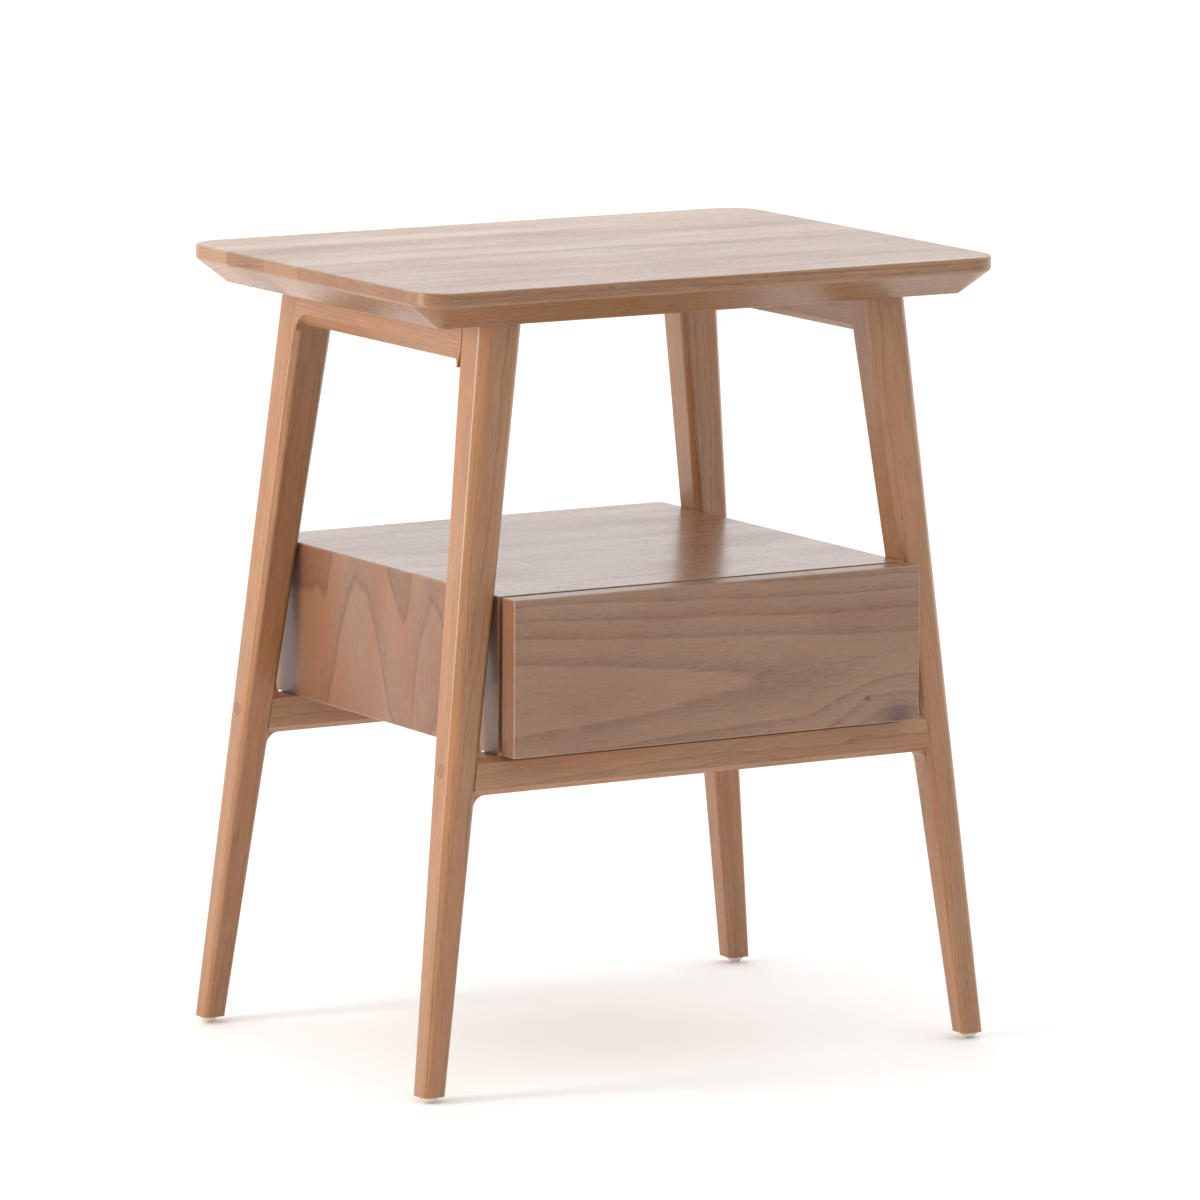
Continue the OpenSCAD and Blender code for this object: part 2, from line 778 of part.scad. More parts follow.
module cage(sx, row_t) {
    color(steel) difference() {
        slide_run(sx, cage_y0, cage_y0 + cage_l) for (st = SIDES)
            translate([ball_s - cage_w / 2, st * row_t - cage_t / 2]) square([cage_w, cage_t]);
        ball_rows(sx, row_t, ball_r + ball_gap);
    }
}

module balls(sx, row_t) {
    color("silver") ball_rows(sx, row_t, ball_r);
}

module cage_outer_left() { cage(-1, outer_row_t); }
module cage_outer_right() { cage(1, outer_row_t); }
module cage_inner_left() { cage(-1, inner_row_t); }
module cage_inner_right() { cage(1, inner_row_t); }
module balls_outer_left() { balls(-1, outer_row_t); }
module balls_outer_right() { balls(1, outer_row_t); }
module balls_inner_left() { balls(-1, inner_row_t); }
module balls_inner_right() { balls(1, inner_row_t); }

// Flat-headed screws that hold the slides, along X, with the head's underside at x
module slide_screw(x, tip_x, y) {
    out = sign(x - tip_x);
    difference() {
        union() {
            rod_x(x, x + out * slide_screw_head_t, y, slide_z, slide_screw_head_r);
            rod_x(x + out * slide_screw_head_t / 2, tip_x, y, slide_z, slide_screw_r);
        }
        rod_x(x + out * slide_screw_head_t / 2, x + out * 2 * over, y, slide_z,
            small_recess_r);
    }
}

module slide_case_screws() {
    x = case_x - panel_t - slide_wall;
    color(steel) for (sx = SIDES, y = case_slide_screw_ys)
        slide_screw(sx * x, sx * (x + slide_screw_l), y);
}

module slide_drawer_screws() {
    x = box_x + slide_wall;
    color(steel) for (sx = SIDES, y = box_slide_screw_ys)
        slide_screw(sx * x, sx * (x - slide_screw_l), y);
}

// ---- Glides --------------------------------------------------------------------------------

// Nail with its head down, standing on the leg's centre line
module nail(x, y, slack) {
    rod_z(x, y, nail_head_z - slack, nail_head_z + nail_head_t + slack, nail_head_r + slack);
    rod_z(x, y, nail_head_z, glide_h + nail_l - over, nail_r + slack);
}

module glide(sx, sy) {
    x = sx * leg_x(0);
    y = sy * leg_y(0);
    color("ivory") difference() {
        union() {
            translate([x, y, 0]) cylinder(d1 = glide_tip_d, d2 = glide_d, h = glide_h - glide_rim);
            rod_z(x, y, glide_h - glide_rim, glide_h, glide_d / 2);
        }
        nail(x, y, fit);
    }
}

module glide_front_left() { glide(-1, -1); }
module glide_front_right() { glide(1, -1); }
module glide_rear_left() { glide(-1, 1); }
module glide_rear_right() { glide(1, 1); }

module glide_nails() {
    color(steel) for (sx = SIDES, sy = SIDES) nail(sx * leg_x(0), sy * leg_y(0), 0);
}

tabletop();
leg_front_left();
leg_front_right();
leg_rear_left();
leg_rear_right();
rail_left();
rail_right();
stretcher_front();
stretcher_rear();
rail_dowels();
stretcher_dowels();
stretcher_screws();
leg_plugs();
top_screws();
case_top();
case_bottom();
case_left();
case_right();
case_splines();
case_back();
back_screws();
case_screws();
slide_case_left();
slide_case_right();
slide_case_screws();
slide_middle_left();
slide_middle_right();
cage_outer_left();
cage_outer_right();
cage_inner_left();
cage_inner_right();
balls_outer_left();
balls_outer_right();
balls_inner_left();
balls_inner_right();
drawer_front();
drawer_left();
drawer_right();
drawer_inner_front();
drawer_rear();
drawer_bottom();
drawer_dowels();
front_screws();
slide_drawer_left();
slide_drawer_right();
slide_drawer_screws();
glide_front_left();
glide_front_right();
glide_rear_left();
glide_rear_right();
glide_nails();
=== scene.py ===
# %% [markdown]
# # A side table with one drawer, built around its measured frame
#
# The table is a small piece of joinery: a thick solid top with an undercut edge, four splayed
# and tapered legs, two rails under the top, two stretchers lower down, and a mitred drawer case
# that stands on the stretchers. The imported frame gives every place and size, so this lesson only
# adds what a maker's hand and the timber itself add: eased edges, grain, joints and fixings.

# %% Load the frame and measure it
import math
import random
import bmesh
import bpy
import numpy as np
from mathutils import Matrix, Vector


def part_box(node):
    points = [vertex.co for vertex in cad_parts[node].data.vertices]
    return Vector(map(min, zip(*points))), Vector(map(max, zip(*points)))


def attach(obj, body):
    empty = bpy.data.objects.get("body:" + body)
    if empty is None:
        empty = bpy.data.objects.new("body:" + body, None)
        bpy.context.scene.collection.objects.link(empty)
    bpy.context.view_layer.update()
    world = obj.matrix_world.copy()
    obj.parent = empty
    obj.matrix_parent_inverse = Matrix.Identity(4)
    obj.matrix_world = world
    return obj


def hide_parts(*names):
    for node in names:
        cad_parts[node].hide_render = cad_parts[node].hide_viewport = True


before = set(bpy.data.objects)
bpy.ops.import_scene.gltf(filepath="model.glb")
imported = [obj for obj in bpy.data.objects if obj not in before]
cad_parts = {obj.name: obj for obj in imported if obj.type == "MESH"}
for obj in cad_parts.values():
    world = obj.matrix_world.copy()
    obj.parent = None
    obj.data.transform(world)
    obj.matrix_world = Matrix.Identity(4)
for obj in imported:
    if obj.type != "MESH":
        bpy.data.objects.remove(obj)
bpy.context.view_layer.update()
scene = bpy.context.scene
mm = 0.001
X, Y, Z = (1, 0, 0), (0, 1, 0), (0, 0, 1)
SIDES = (-1, 1)
CORNERS = [(sx, sy) for sx in SIDES for sy in SIDES]
SIDE_NAMES, END_NAMES = {-1: "left", 1: "right"}, {-1: "front", 1: "rear"}


def in_scene(name, data):
    """A new object that holds a mesh, a light or a camera."""
    obj = bpy.data.objects.new(name, data)
    scene.collection.objects.link(obj)
    return obj


# %% [markdown]
# ## Camera
# The camera stands low and far away, to the left of the front, with a long lens, as a furniture
# photographer places it: verticals stay almost parallel and the top shows as a thin slice. The
# lens and place are given as angles and a distance, which is easier to adjust than a matrix.

# %% Camera
AIM = Vector((0, 0, 0.3))
AZIMUTH, ELEVATION, ROLL = (math.radians(a) for a in (31.1857, 9.3383, 0.3594))
PAN, TILT = (math.radians(a) for a in (0.0642, 0.2659))
DISTANCE = 6.83304
LENS, SENSOR = 270.147, 36

out = Vector((-math.sin(AZIMUTH) * math.cos(ELEVATION),
              -math.cos(AZIMUTH) * math.cos(ELEVATION), math.sin(ELEVATION)))
right = Vector((math.cos(AZIMUTH), -math.sin(AZIMUTH), 0))
aimed = Matrix((right, out.cross(right), out))
aimed = Matrix.Rotation(-ROLL, 3, "Z") @ aimed
aimed = Matrix.Rotation(-TILT, 3, "X") @ Matrix.Rotation(PAN, 3, "Y") @ aimed
lens = bpy.data.cameras.new("studio camera")
lens.lens, lens.sensor_width, lens.clip_end = LENS, SENSOR, 100
camera = in_scene("studio camera", lens)
camera.matrix_world = Matrix.Translation(AIM + out * DISTANCE) @ aimed.transposed().to_4x4()
scene.camera = camera
print("camera at", [round(c, 3) for c in camera.location])

# %% [markdown]
# ## Floor and light
# A plain pale floor runs far behind the table, so no horizon shows. The light is a white room,
# brighter overhead and behind the table than in front of it, and one warm softbox on the left,
# which lights the left faces and leaves the front duller, so each facet of a leg reads alone.

# %% Floor and lights
floor_bm = bmesh.new()
bmesh.ops.create_grid(floor_bm, x_segments=1, y_segments=1, size=30)
floor_mesh = bpy.data.meshes.new("studio_floor")
floor_bm.to_mesh(floor_mesh)
floor = in_scene("studio_floor", floor_mesh)
paint = bpy.data.materials.new("studio floor")
paint.use_nodes = True
shade = paint.node_tree.nodes["Principled BSDF"]
shade.inputs["Base Color"].default_value = (0.93, 0.93, 0.93, 1)
shade.inputs["Roughness"].default_value = 0.8
shade.inputs["Specular IOR Level"].default_value = 0.2
floor.data.materials.append(paint)

room = bpy.data.worlds.new("white room")
room.use_nodes = True
room_nodes, room_links = room.node_tree.nodes, room.node_tree.links
way = room_nodes.new("ShaderNodeTexCoord").outputs["Generated"]
BACKDROP, FRONT, CEILING = 1.25, 0.36, 1.5
to_backdrop = (math.sin(AZIMUTH), math.cos(AZIMUTH), 0)


def facing(direction, start, end, low, high):
    """Light that grows from low to high between two cosines of the angle to a direction."""
    dot = room_nodes.new("ShaderNodeVectorMath")
    dot.operation = "DOT_PRODUCT"
    dot.inputs[1].default_value = direction
    room_links.new(way, dot.inputs[0])
    spread = room_nodes.new("ShaderNodeMapRange")
    spread.interpolation_type = "SMOOTHSTEP"
    for socket, value in zip(spread.inputs[1:5], (start, end, low, high)):
        socket.default_value = value
    room_links.new(dot.outputs["Value"], spread.inputs[0])
    return spread


walls = facing(to_backdrop, -0.7, 0.7, FRONT, BACKDROP)
above = facing(Z, 0.15, 1, 0, 1)
blend = room_nodes.new("ShaderNodeMix")
room_links.new(above.outputs[0], blend.inputs[0])
room_links.new(walls.outputs[0], blend.inputs[2])
blend.inputs[3].default_value = CEILING
room_links.new(blend.outputs[0], room_nodes["Background"].inputs["Strength"])
room_nodes["Background"].inputs["Color"].default_value = (1, 1, 1, 1)
scene.world = room
scene.view_settings.view_transform = "Standard"


def softbox(name, place, aim, width, height, power, colour):
    light = bpy.data.lights.new(name, "AREA")
    light.shape, light.size, light.size_y = "RECTANGLE", width, height
    light.energy, light.color = power, colour
    holder = in_scene(name, light)
    holder.location = place
    holder.rotation_euler = (Vector(aim) - Vector(place)).to_track_quat("-Z", "Y").to_euler()


softbox("left softbox", (-2.7, 0.35, 0.9), (0, 0, 0.35), 0.7, 1.2, 42, (1, 0.9, 0.76))

# %% [markdown]
# ## A small bench of mesh tools
# Joinery is boards, so most pieces start as an outline that is pushed along a line. The helpers
# below make such a solid, cut one solid with another, ease its edges, and then store two
# things on its points: `grain`, each point's place along, across and through the board, so one
# timber serves boards that lie in any direction, and a mask which is 1 on an eased edge, where
# the timbers paint a paler band that is partly wear and partly a painted highlight.

# %% Mesh tools
def to_object(bm, name):
    bmesh.ops.remove_doubles(bm, verts=bm.verts, dist=1e-6)
    bmesh.ops.recalc_face_normals(bm, faces=bm.faces)
    mesh = bpy.data.meshes.new(name)
    bm.to_mesh(mesh)
    bm.free()
    return in_scene(name, mesh)


def frozen(obj):
    """Turns what the modifiers make into a plain mesh, and removes them."""
    graph = bpy.context.evaluated_depsgraph_get()
    mesh = bpy.data.meshes.new_from_object(obj.evaluated_get(graph))
    obj.modifiers.clear()
    obj.data = mesh
    return obj


def rounded(corners, radius, steps=4):
    """An outline with an arc of the given radius at each corner."""
    outline, count = [], len(corners)
    radii = radius if isinstance(radius, (list, tuple)) else [radius] * count
    for i, r in enumerate(radii):
        before, corner, after = (Vector(corners[j % count]) for j in (i - 1, i, i + 1))
        if r == 0:
            outline.append(corner)
            continue
        back, on = (before - corner).normalized(), (after - corner).normalized()
        half = back.angle(on) / 2
        centre = corner + (back + on).normalized() * r / math.sin(half)
        first = back * r / math.tan(half) + corner - centre
        last = on * r / math.tan(half) + corner - centre
        start = math.atan2(first.y, first.x)
        sweep = (math.atan2(last.y, last.x) - start + math.pi) % math.tau - math.pi
        for k in range(steps + 1):
            angle = start + sweep * k / steps
            outline.append(centre + Vector((math.cos(angle), math.sin(angle))) * r)
    return outline


def mirrored(half):
    """Closes half an outline with its mirror image."""
    return half + [(-a, b) for a, b in reversed(half)]


def loft(name, rings):
    """A skin over rings of points, closed at both ends."""
    bm = bmesh.new()
    rings = [[bm.verts.new(point) for point in ring] for ring in rings]
    for one, two in zip(rings, rings[1:]):
        for k in range(len(one)):
            n = (k + 1) % len(one)
            bm.faces.new((one[k], one[n], two[n], two[k]))
    bm.faces.new(rings[0])
    bm.faces.new(rings[-1])
    return to_object(bm, name)


def prism(name, outline, low, high, place):
    """The outline pushed from low to high; place(a, b, t) gives each point."""
    return loft(name, [[place(a, b, t) for a, b in outline] for t in (low, high)])


def board(name, low, high):
    """A box between two corners."""
    (x0, y0, z0), (x1, y1, z1) = low, high
    return prism(name, [(x0, y0), (x1, y0), (x1, y1), (x0, y1)], z0, z1,
                 lambda a, b, t: (a, b, t))


def rod(name, start, end, radius, sides=24):
    """A round bar from start to end."""
    start, end = Vector(start), Vector(end)
    along = (end - start).normalized()
    side = along.orthogonal().normalized()
    other = along.cross(side)
    turns = [math.tau * k / sides for k in range(sides)]
    return loft(name, [[place + (side * math.cos(a) + other * math.sin(a)) * radius
                        for a in turns] for place in (start, end)])


def cut(obj, *tools, how="DIFFERENCE"):
    """Cuts obj with each tool, or keeps only what they share, then throws the tools away."""
    for tool in tools:
        saw = obj.modifiers.new("saw", "BOOLEAN")
        saw.object, saw.operation, saw.solver = tool, how, "EXACT"
        frozen(obj)
        bpy.data.objects.remove(tool)
    return obj


def ease(obj, radius, steps=3, choose=None, sharp=25):
    """Rounds the edges that are sharper than an angle and that choose(edge) picks."""
    bm = bmesh.new()
    bm.from_mesh(obj.data)
    bmesh.ops.remove_doubles(bm, verts=bm.verts, dist=2e-6)
    bmesh.ops.dissolve_limit(bm, angle_limit=math.radians(0.5), verts=bm.verts, edges=bm.edges)
    edges = [e for e in bm.edges if len(e.link_faces) == 2
             and math.degrees(e.calc_face_angle(0)) > sharp and (not choose or choose(e))]
    bmesh.ops.bevel(bm, geom=edges, offset=radius, segments=steps, profile=0.5,
                    affect="EDGES", clamp_overlap=True, material=-1)
    bm.to_mesh(obj.data)
    bm.free()
    return obj


def mark_eased_edges(obj, narrow=1.2 * mm):
    """Writes 1 on points whose faces are all narrow strips, as on a rounded edge."""
    bm = bmesh.new()
    bm.from_mesh(obj.data)
    thin = {}
    for face in bm.faces:
        longest = max(e.calc_length() for e in face.edges)
        thin[face.index] = face.calc_area() < narrow * longest
    wear_and_highlight = [1.0 if all(thin[f.index] for f in v.link_faces) else 0.0 for v in bm.verts]
    bm.free()
    obj.data.attributes.new("wear_and_highlight", "FLOAT", "POINT").data.foreach_set("value", wear_and_highlight)


def lay_grain(obj, along, across, seed, origin=(0, 0, 0), flat=False, start=None):
    """Stores each point's place in the board, as if the board were cut from its own trunk.

    start is where origin lies in that trunk, from its pith; without it, chance decides."""
    chance = random.Random(seed)
    along = Vector(along).normalized()
    across = (Vector(across) - along * Vector(across).dot(along)).normalized()
    through = along.cross(across)
    points = np.empty(len(obj.data.vertices) * 3)
    obj.data.vertices.foreach_get("co", points)
    points = points.reshape(-1, 3) - np.array(origin)
    grain = points @ np.array([along, across, through]).T
    if flat:
        grain[:, 2] = 0
    grain += np.array(start or [chance.uniform(0, 3), chance.uniform(-0.03, 0.03),
                                chance.uniform(0.035, 0.075)])
    store = obj.data.attributes.new("grain", "FLOAT_VECTOR", "POINT")
    store.data.foreach_set("vector", grain.astype(np.float32).ravel())


def shade_softly(obj, angle=38):
    """Smooth shading that keeps wide faces flat beside small rounded edges."""
    obj.data.shade_smooth()
    obj.data.set_sharp_from_angle(angle=math.radians(angle))
    obj.modifiers.new("weights", "WEIGHTED_NORMAL").keep_sharp = True
    return frozen(obj)


def fit_piece(obj, body, slot, *stands_for):
    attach(obj, body)
    if stands_for:
        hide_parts(*stands_for)
    print(obj.name, len(obj.data.polygons), "faces")


def complete(obj, body, slot, node, finish, along, across, seed=0, **trunk):
    """The last steps of a wooden piece, once its shape is cut. A leg has its finish already."""
    mark_eased_edges(obj)
    lay_grain(obj, along, across, seed, **trunk)
    shade_softly(obj)
    if finish:
        obj.data.materials.append(finish)
    fit_piece(obj, body, slot, node)


# %% [markdown]
# ## A small bench of shader tools
# A timber needs some thirty nodes. Written one by one they hide the idea, so a short class adds
# a node, wires what is given to it, and hands back the result.

# %% Shader tools
def tone(red, green, blue):
    """A colour given as 0 to 255, as on a paint card, made linear."""
    steps = [c / 255 for c in (red, green, blue)]
    return tuple(c / 12.92 if c < 0.04045 else ((c + 0.055) / 1.055) ** 2.4 for c in steps) + (1,)


class Wiring:
    def __init__(self, tree):
        self.tree = tree

    def wire(self, node, wires):
        """Links each input to another node's output, or gives it a plain value."""
        for socket, value in wires.items():
            if isinstance(value, bpy.types.NodeSocket):
                self.tree.links.new(value, node.inputs[socket])
            else:
                node.inputs[socket].default_value = value
        return node

    def add(self, kind, wires=None, **settings):
        made = self.tree.nodes.new(kind)
        for key, value in settings.items():
            setattr(made, key, value)
        return self.wire(made, wires or {})

    def sum(self, operation, *terms, clamp=False):
        made = self.add("ShaderNodeMath", dict(enumerate(terms)), operation=operation)
        made.use_clamp = clamp
        return made.outputs[0]

    def vector(self, operation, one, two):
        return self.add("ShaderNodeVectorMath", {0: one, 1: two}, operation=operation).outputs[0]

    def split(self, vector):
        return self.add("ShaderNodeSeparateXYZ", {0: vector}).outputs[:3]

    def stretch(self, vector, along, across, through):
        return self.vector("MULTIPLY", vector, (along, across, through))

    def noise(self, vector, detail=2.0, scale=1.0, rough=0.5):
        return self.add("ShaderNodeTexNoise", {"Vector": vector, "Scale": scale,
                        "Detail": detail, "Roughness": rough}).outputs[0]

    def streaks(self, place, along, across, detail=2.0):
        """Noise drawn out along the grain."""
        return self.noise(self.stretch(place, along, across, across), detail)

    def bump(self, height, depth, strength):
        return self.add("ShaderNodeBump", {"Height": height, "Distance": depth,
                                           "Strength": strength}).outputs[0]

    def spread(self, value, low, high, to_low=0.0, to_high=1.0, smooth=False):
        return self.add("ShaderNodeMapRange", {"Value": value, 1: low, 2: high, 3: to_low,
                        4: to_high}, interpolation_type="SMOOTHSTEP" if smooth else "LINEAR"
                        ).outputs[0]

    def mix(self, amount, one, two, blend="MIX"):
        return self.add("ShaderNodeMix", {0: amount, 6: one, 7: two}, data_type="RGBA",
                        blend_type=blend).outputs[2]

    def ramp(self, value, stops):
        made = self.add("ShaderNodeValToRGB", {0: value})
        bar = made.color_ramp.elements
        while len(bar) < len(stops):
            bar.new(0.5)
        for stop, (place, grey) in zip(bar, stops):
            stop.position = place
            stop.color = (grey, grey, grey, 1)
        return made.outputs[0]


def new_finish(name):
    material = bpy.data.materials.new(name)
    material.use_nodes = True
    material.node_tree.nodes.clear()
    wiring = Wiring(material.node_tree)
    shader = wiring.add("ShaderNodeBsdfPrincipled")
    wiring.add("ShaderNodeOutputMaterial", {"Surface": shader.outputs[0]})
    return material, wiring, shader


# %% [markdown]
# ## Timber
# A board is a slice through a tree. Far from the camera it reads as lines, but those lines are
# the cut edges of growth rings, so the surest way to get straight grain on one face, arches on
# another and curved end grain on a third is to compute the rings themselves. The radius from an
# unseen pith, bent a little by noise and widened along the trunk, is divided into rings. Each
# ring is darker where it starts. Pores are noise drawn out along the grain. Staves, where a
# panel is glued from strips, each take their slice from another tree.

# %% Timber recipe
EMBER, KNOT_TONE = tone(184, 116, 66), tone(76, 50, 52)


# Lengths are in millimetres. ring is a year's growth, taper how fast the rings widen along the
# trunk, wander how far the pith strays, stave the width of glued strips, swell a wave that
# draws arches, band the tone of eased edges (paler, partly wear and partly a painted
# highlight), and glow how warm the patches between are.
def timber(name, pale, dark, blush, ring=3.4, taper=0.02, wander=10, contrast=0.5, pores=0.6,
           stave=0, gloss=0.42, knots=(), band=None, ripples=0.35, uneven=3.0, line=0.10,
           lacquer=0.35, swell=None, upright=False, glow=0.0):
    material, w, shader = new_finish(name)
    if upright:
        x, y, z = w.split(w.add("ShaderNodeTexCoord").outputs["Object"])
        place = w.add("ShaderNodeCombineXYZ", {0: z, 1: y, 2: x}).outputs[0]
    else:
        place = w.add("ShaderNodeAttribute", attribute_name="grain").outputs["Vector"]
    place = w.stretch(place, 1000, 1000, 1000)
    joint = None
    if stave:
        strips = {"W": w.split(place)[1], "Scale": 1 / stave, "Randomness": 0.55}
        strip = w.add("ShaderNodeTexVoronoi", strips, voronoi_dimensions="1D")
        edge = w.add("ShaderNodeTexVoronoi", strips, voronoi_dimensions="1D",
                     feature="DISTANCE_TO_EDGE")
        own = strip.outputs["Color"]
        shift = w.stretch(w.vector("SUBTRACT", own, (0.5, 0.5, 0.2)), 2400, 130, 60)
        place = w.vector("ADD", place, shift)
        joint = w.spread(edge.outputs["Distance"], 0.0, 0.25 / stave, 1, 0)
        own_tone = w.add("ShaderNodeSeparateColor", {0: own}).outputs[0]

    def knot_distance(centre, squeeze):
        gap = w.vector("SUBTRACT", place, (*centre, 0))
        return w.add("ShaderNodeVectorMath", {0: w.stretch(gap, squeeze, 1, 0)},
                     operation="LENGTH").outputs["Value"]

    along, across, through = w.split(place)
    bend = w.streaks(place, 0.0045, 0.014)
    ripple = w.streaks(place, 0.018, 0.11)
    pith_across = w.sum("ADD", across, w.spread(bend, 0, 1, -wander * 2, wander * 2))
    radius = w.sum("SQRT", w.sum("ADD", w.sum("MULTIPLY", pith_across, pith_across),
                                 w.sum("MULTIPLY", through, through)))
    radius = w.sum("MULTIPLY_ADD", along, taper, radius)
    if swell:
        height, length, shift = swell
        wave = w.sum("SINE", w.sum("MULTIPLY_ADD", pith_across, math.tau / length, shift))
        radius = w.sum("MULTIPLY_ADD", wave, w.spread(bend, 0.25, 0.75, 0.3, 1.7 * height),
                       radius)
    radius = w.sum("ADD", radius, w.spread(ripple, 0, 1, -ring * ripples, ring * ripples))
    for centre, size in knots:
        near = w.spread(knot_distance(centre, 0.6), size * 2.6, 0, 0, 1, smooth=True)
        radius = w.sum("MULTIPLY_ADD", near, size * 0.9, radius)
    years = w.sum("DIVIDE", radius, ring)
    growth = w.add("ShaderNodeTexNoise", {"W": years, "Scale": 0.31, "Detail": 2.0},
                   noise_dimensions="1D").outputs[0]
    years = w.sum("MULTIPLY_ADD", growth, uneven, years)
    year = w.ramp(w.sum("FRACT", years), [(0.0, 0.0), (line * 0.4, 0.15), (line, 0.5),
                                          (0.45, 0.80), (0.93, 1.0), (1.0, 0.0)])
    own_year = w.add("ShaderNodeTexWhiteNoise", {"W": w.sum("FLOOR", years)},
                     noise_dimensions="1D").outputs["Value"]
    year = w.sum("MULTIPLY", year, w.spread(own_year, 0, 1, 0.72, 1.0))
    fibre = w.streaks(place, 0.035, 1.15, detail=3.0)
    pore = w.spread(w.streaks(place, 0.10, 1.9, detail=1.0), 0.60, 0.72)
    pore = w.sum("MULTIPLY", pore, w.spread(year, 0, 1, 1.0, 0.35))
    patch = w.streaks(place, 0.0065, 0.028, detail=3.0)
    light = w.sum("MULTIPLY_ADD", w.sum("SUBTRACT", year, 0.5), contrast, 0.58)
    light = w.sum("ADD", light, w.spread(fibre, 0.3, 0.7, -0.16, 0.16), clamp=True)
    if stave:
        light = w.sum("ADD", light, w.spread(own_tone, 0, 1, -0.34, 0.22), clamp=True)
    colour = w.mix(light, dark, pale)
    colour = w.mix(w.spread(patch, 0.35, 0.75, 0, 0.75), colour, blush, blend="MULTIPLY")
    colour = w.mix(w.spread(w.streaks(place, 0.005, 0.07), 0.45, 0.7, 0, glow), colour, EMBER)
    colour = w.mix(w.sum("MULTIPLY", pore, pores), colour, dark, blend="MULTIPLY")
    for centre, size in knots:
        gap = knot_distance(centre, 0.75)
        heart = w.spread(gap, size, 0, 0, 1, smooth=True)
        rings = w.sum("PINGPONG", w.sum("ADD", gap, w.spread(ripple, 0, 1, -1.5, 1.5)), 1.4)
        colour = w.mix(w.sum("MULTIPLY", heart, w.spread(rings, 0, 1.4, 0.55, 1.1)), colour,
                       KNOT_TONE)
    if joint is not None:
        colour = w.mix(w.sum("MULTIPLY", joint, 0.45), colour, dark)
    # Eased edges are mixed towards band, a paler tone that is partly real wear and partly a painted
    # highlight where light would catch the rounded edge.
    wear_and_highlight = w.add("ShaderNodeAttribute", attribute_name="wear_and_highlight").outputs["Fac"]
    wear_and_highlight = w.sum("MULTIPLY", wear_and_highlight, w.spread(w.streaks(place, 0.03, 0.2), 0.3, 0.7, 0.25, 0.8))
    colour = w.mix(w.sum("MULTIPLY", wear_and_highlight, 0.45), colour, band or pale)
    rough = w.spread(w.sum("ADD", w.sum("MULTIPLY", pore, 0.6), patch), 0.3, 1.1, gloss - 0.05,
                     gloss + 0.13)
    height = w.sum("SUBTRACT", w.sum("MULTIPLY_ADD", year, 0.35, w.sum("MULTIPLY", fibre, 0.5)),
                   pore)
    w.wire(shader, {"Base Color": colour, "Roughness": rough,
                    "Normal": w.bump(height, 0.09 * mm, 0.75)})
    shader.inputs["Specular IOR Level"].default_value = 0.5
    shader.inputs["Coat Weight"].default_value = lacquer
    shader.inputs["Coat Roughness"].default_value = 0.2
    print("timber:", name, len(w.tree.nodes), "nodes")
    return material


PALE, DARK, BLUSH = tone(180, 136, 98), tone(118, 72, 43), tone(230, 216, 196)
# The frame's eased edges are painted this cream tone: partly sanded wear, partly a painted
# highlight standing in for the lamp's glint on the rounded chamfers.
SANDED_AND_HIGHLIGHT = tone(222, 186, 150)
frame_timber = timber("oiled frame timber", PALE, DARK, BLUSH, ring=2.6, taper=0.006,
                      wander=5, contrast=0.35, band=SANDED_AND_HIGHLIGHT, pores=0.5, glow=0.4)
top_timber = timber("glued top staves", tone(172, 136, 103), DARK, BLUSH, ring=3.0,
                    taper=0.008, wander=7, contrast=0.42, stave=52, gloss=0.28, pores=0.9,
                    lacquer=0.12)
plug_timber = timber("plug timber", tone(158, 106, 72), DARK, BLUSH, ring=2.2)
dowel_timber = timber("beech dowel", tone(222, 186, 146), tone(186, 140, 98), BLUSH, ring=2.0,
                      contrast=0.3)

# %% [markdown]
# The case and the drawer front are panels with a thin face of real timber. A face cut flat from
# the log shows arches, so the rings widen faster along the case's side, and a wave bends them.
# The faces are duller than the solid frame, and their eased edges paler, partly from wear and
# partly as a painted highlight.

# %% Veneers and inside timbers
V_PALE, V_DARK, V_BLUSH = tone(172, 134, 106), tone(110, 76, 54), tone(230, 212, 200)
KNOT, FLECK = ((158, -39), 20), ((131, -22), 3.2)
# The veneered panels' eased edges are painted this paler tone: partly wear, partly a painted
# highlight along the rounded edges.
EDGE_WEAR_AND_HIGHLIGHT = tone(206, 176, 152)
veneer_side = timber("veneered case side", tone(145, 106, 77), tone(84, 52, 42),
                     tone(255, 214, 176), ring=28, taper=0.30, wander=12, contrast=0.5,
                     band=EDGE_WEAR_AND_HIGHLIGHT, ripples=0.05, uneven=0.5, line=0.05, pores=0.9,
                     swell=(15, 118, 2.337))
veneer_top = timber("veneered case top", V_PALE, V_DARK, V_BLUSH, ring=5, taper=0.01,
                    wander=10, contrast=0.75, gloss=0.24, band=EDGE_WEAR_AND_HIGHLIGHT, pores=1.0,
                    lacquer=0.12)
veneer_front = timber("veneered drawer front", tone(158, 123, 97), V_DARK, V_BLUSH, ring=9,
                      taper=0.027, wander=3, contrast=0.36, band=EDGE_WEAR_AND_HIGHLIGHT, ripples=0.12,
                      uneven=0.5, line=0.22, pores=0.65, knots=(KNOT, FLECK))
lipping = timber("front lipping", tone(150, 108, 80), tone(104, 70, 48), V_BLUSH, ring=2.4,
                 contrast=0.12, pores=0.3, band=EDGE_WEAR_AND_HIGHLIGHT, upright=True)
drawer_wood = timber("drawer box timber", tone(226, 196, 158), tone(190, 150, 108), BLUSH,
                     ring=2.8, contrast=0.35, gloss=0.5)
base_ply = timber("drawer base ply", tone(224, 198, 164), tone(196, 160, 122), BLUSH, ring=5,
                  taper=0.12, wander=14, contrast=0.3, gloss=0.55)
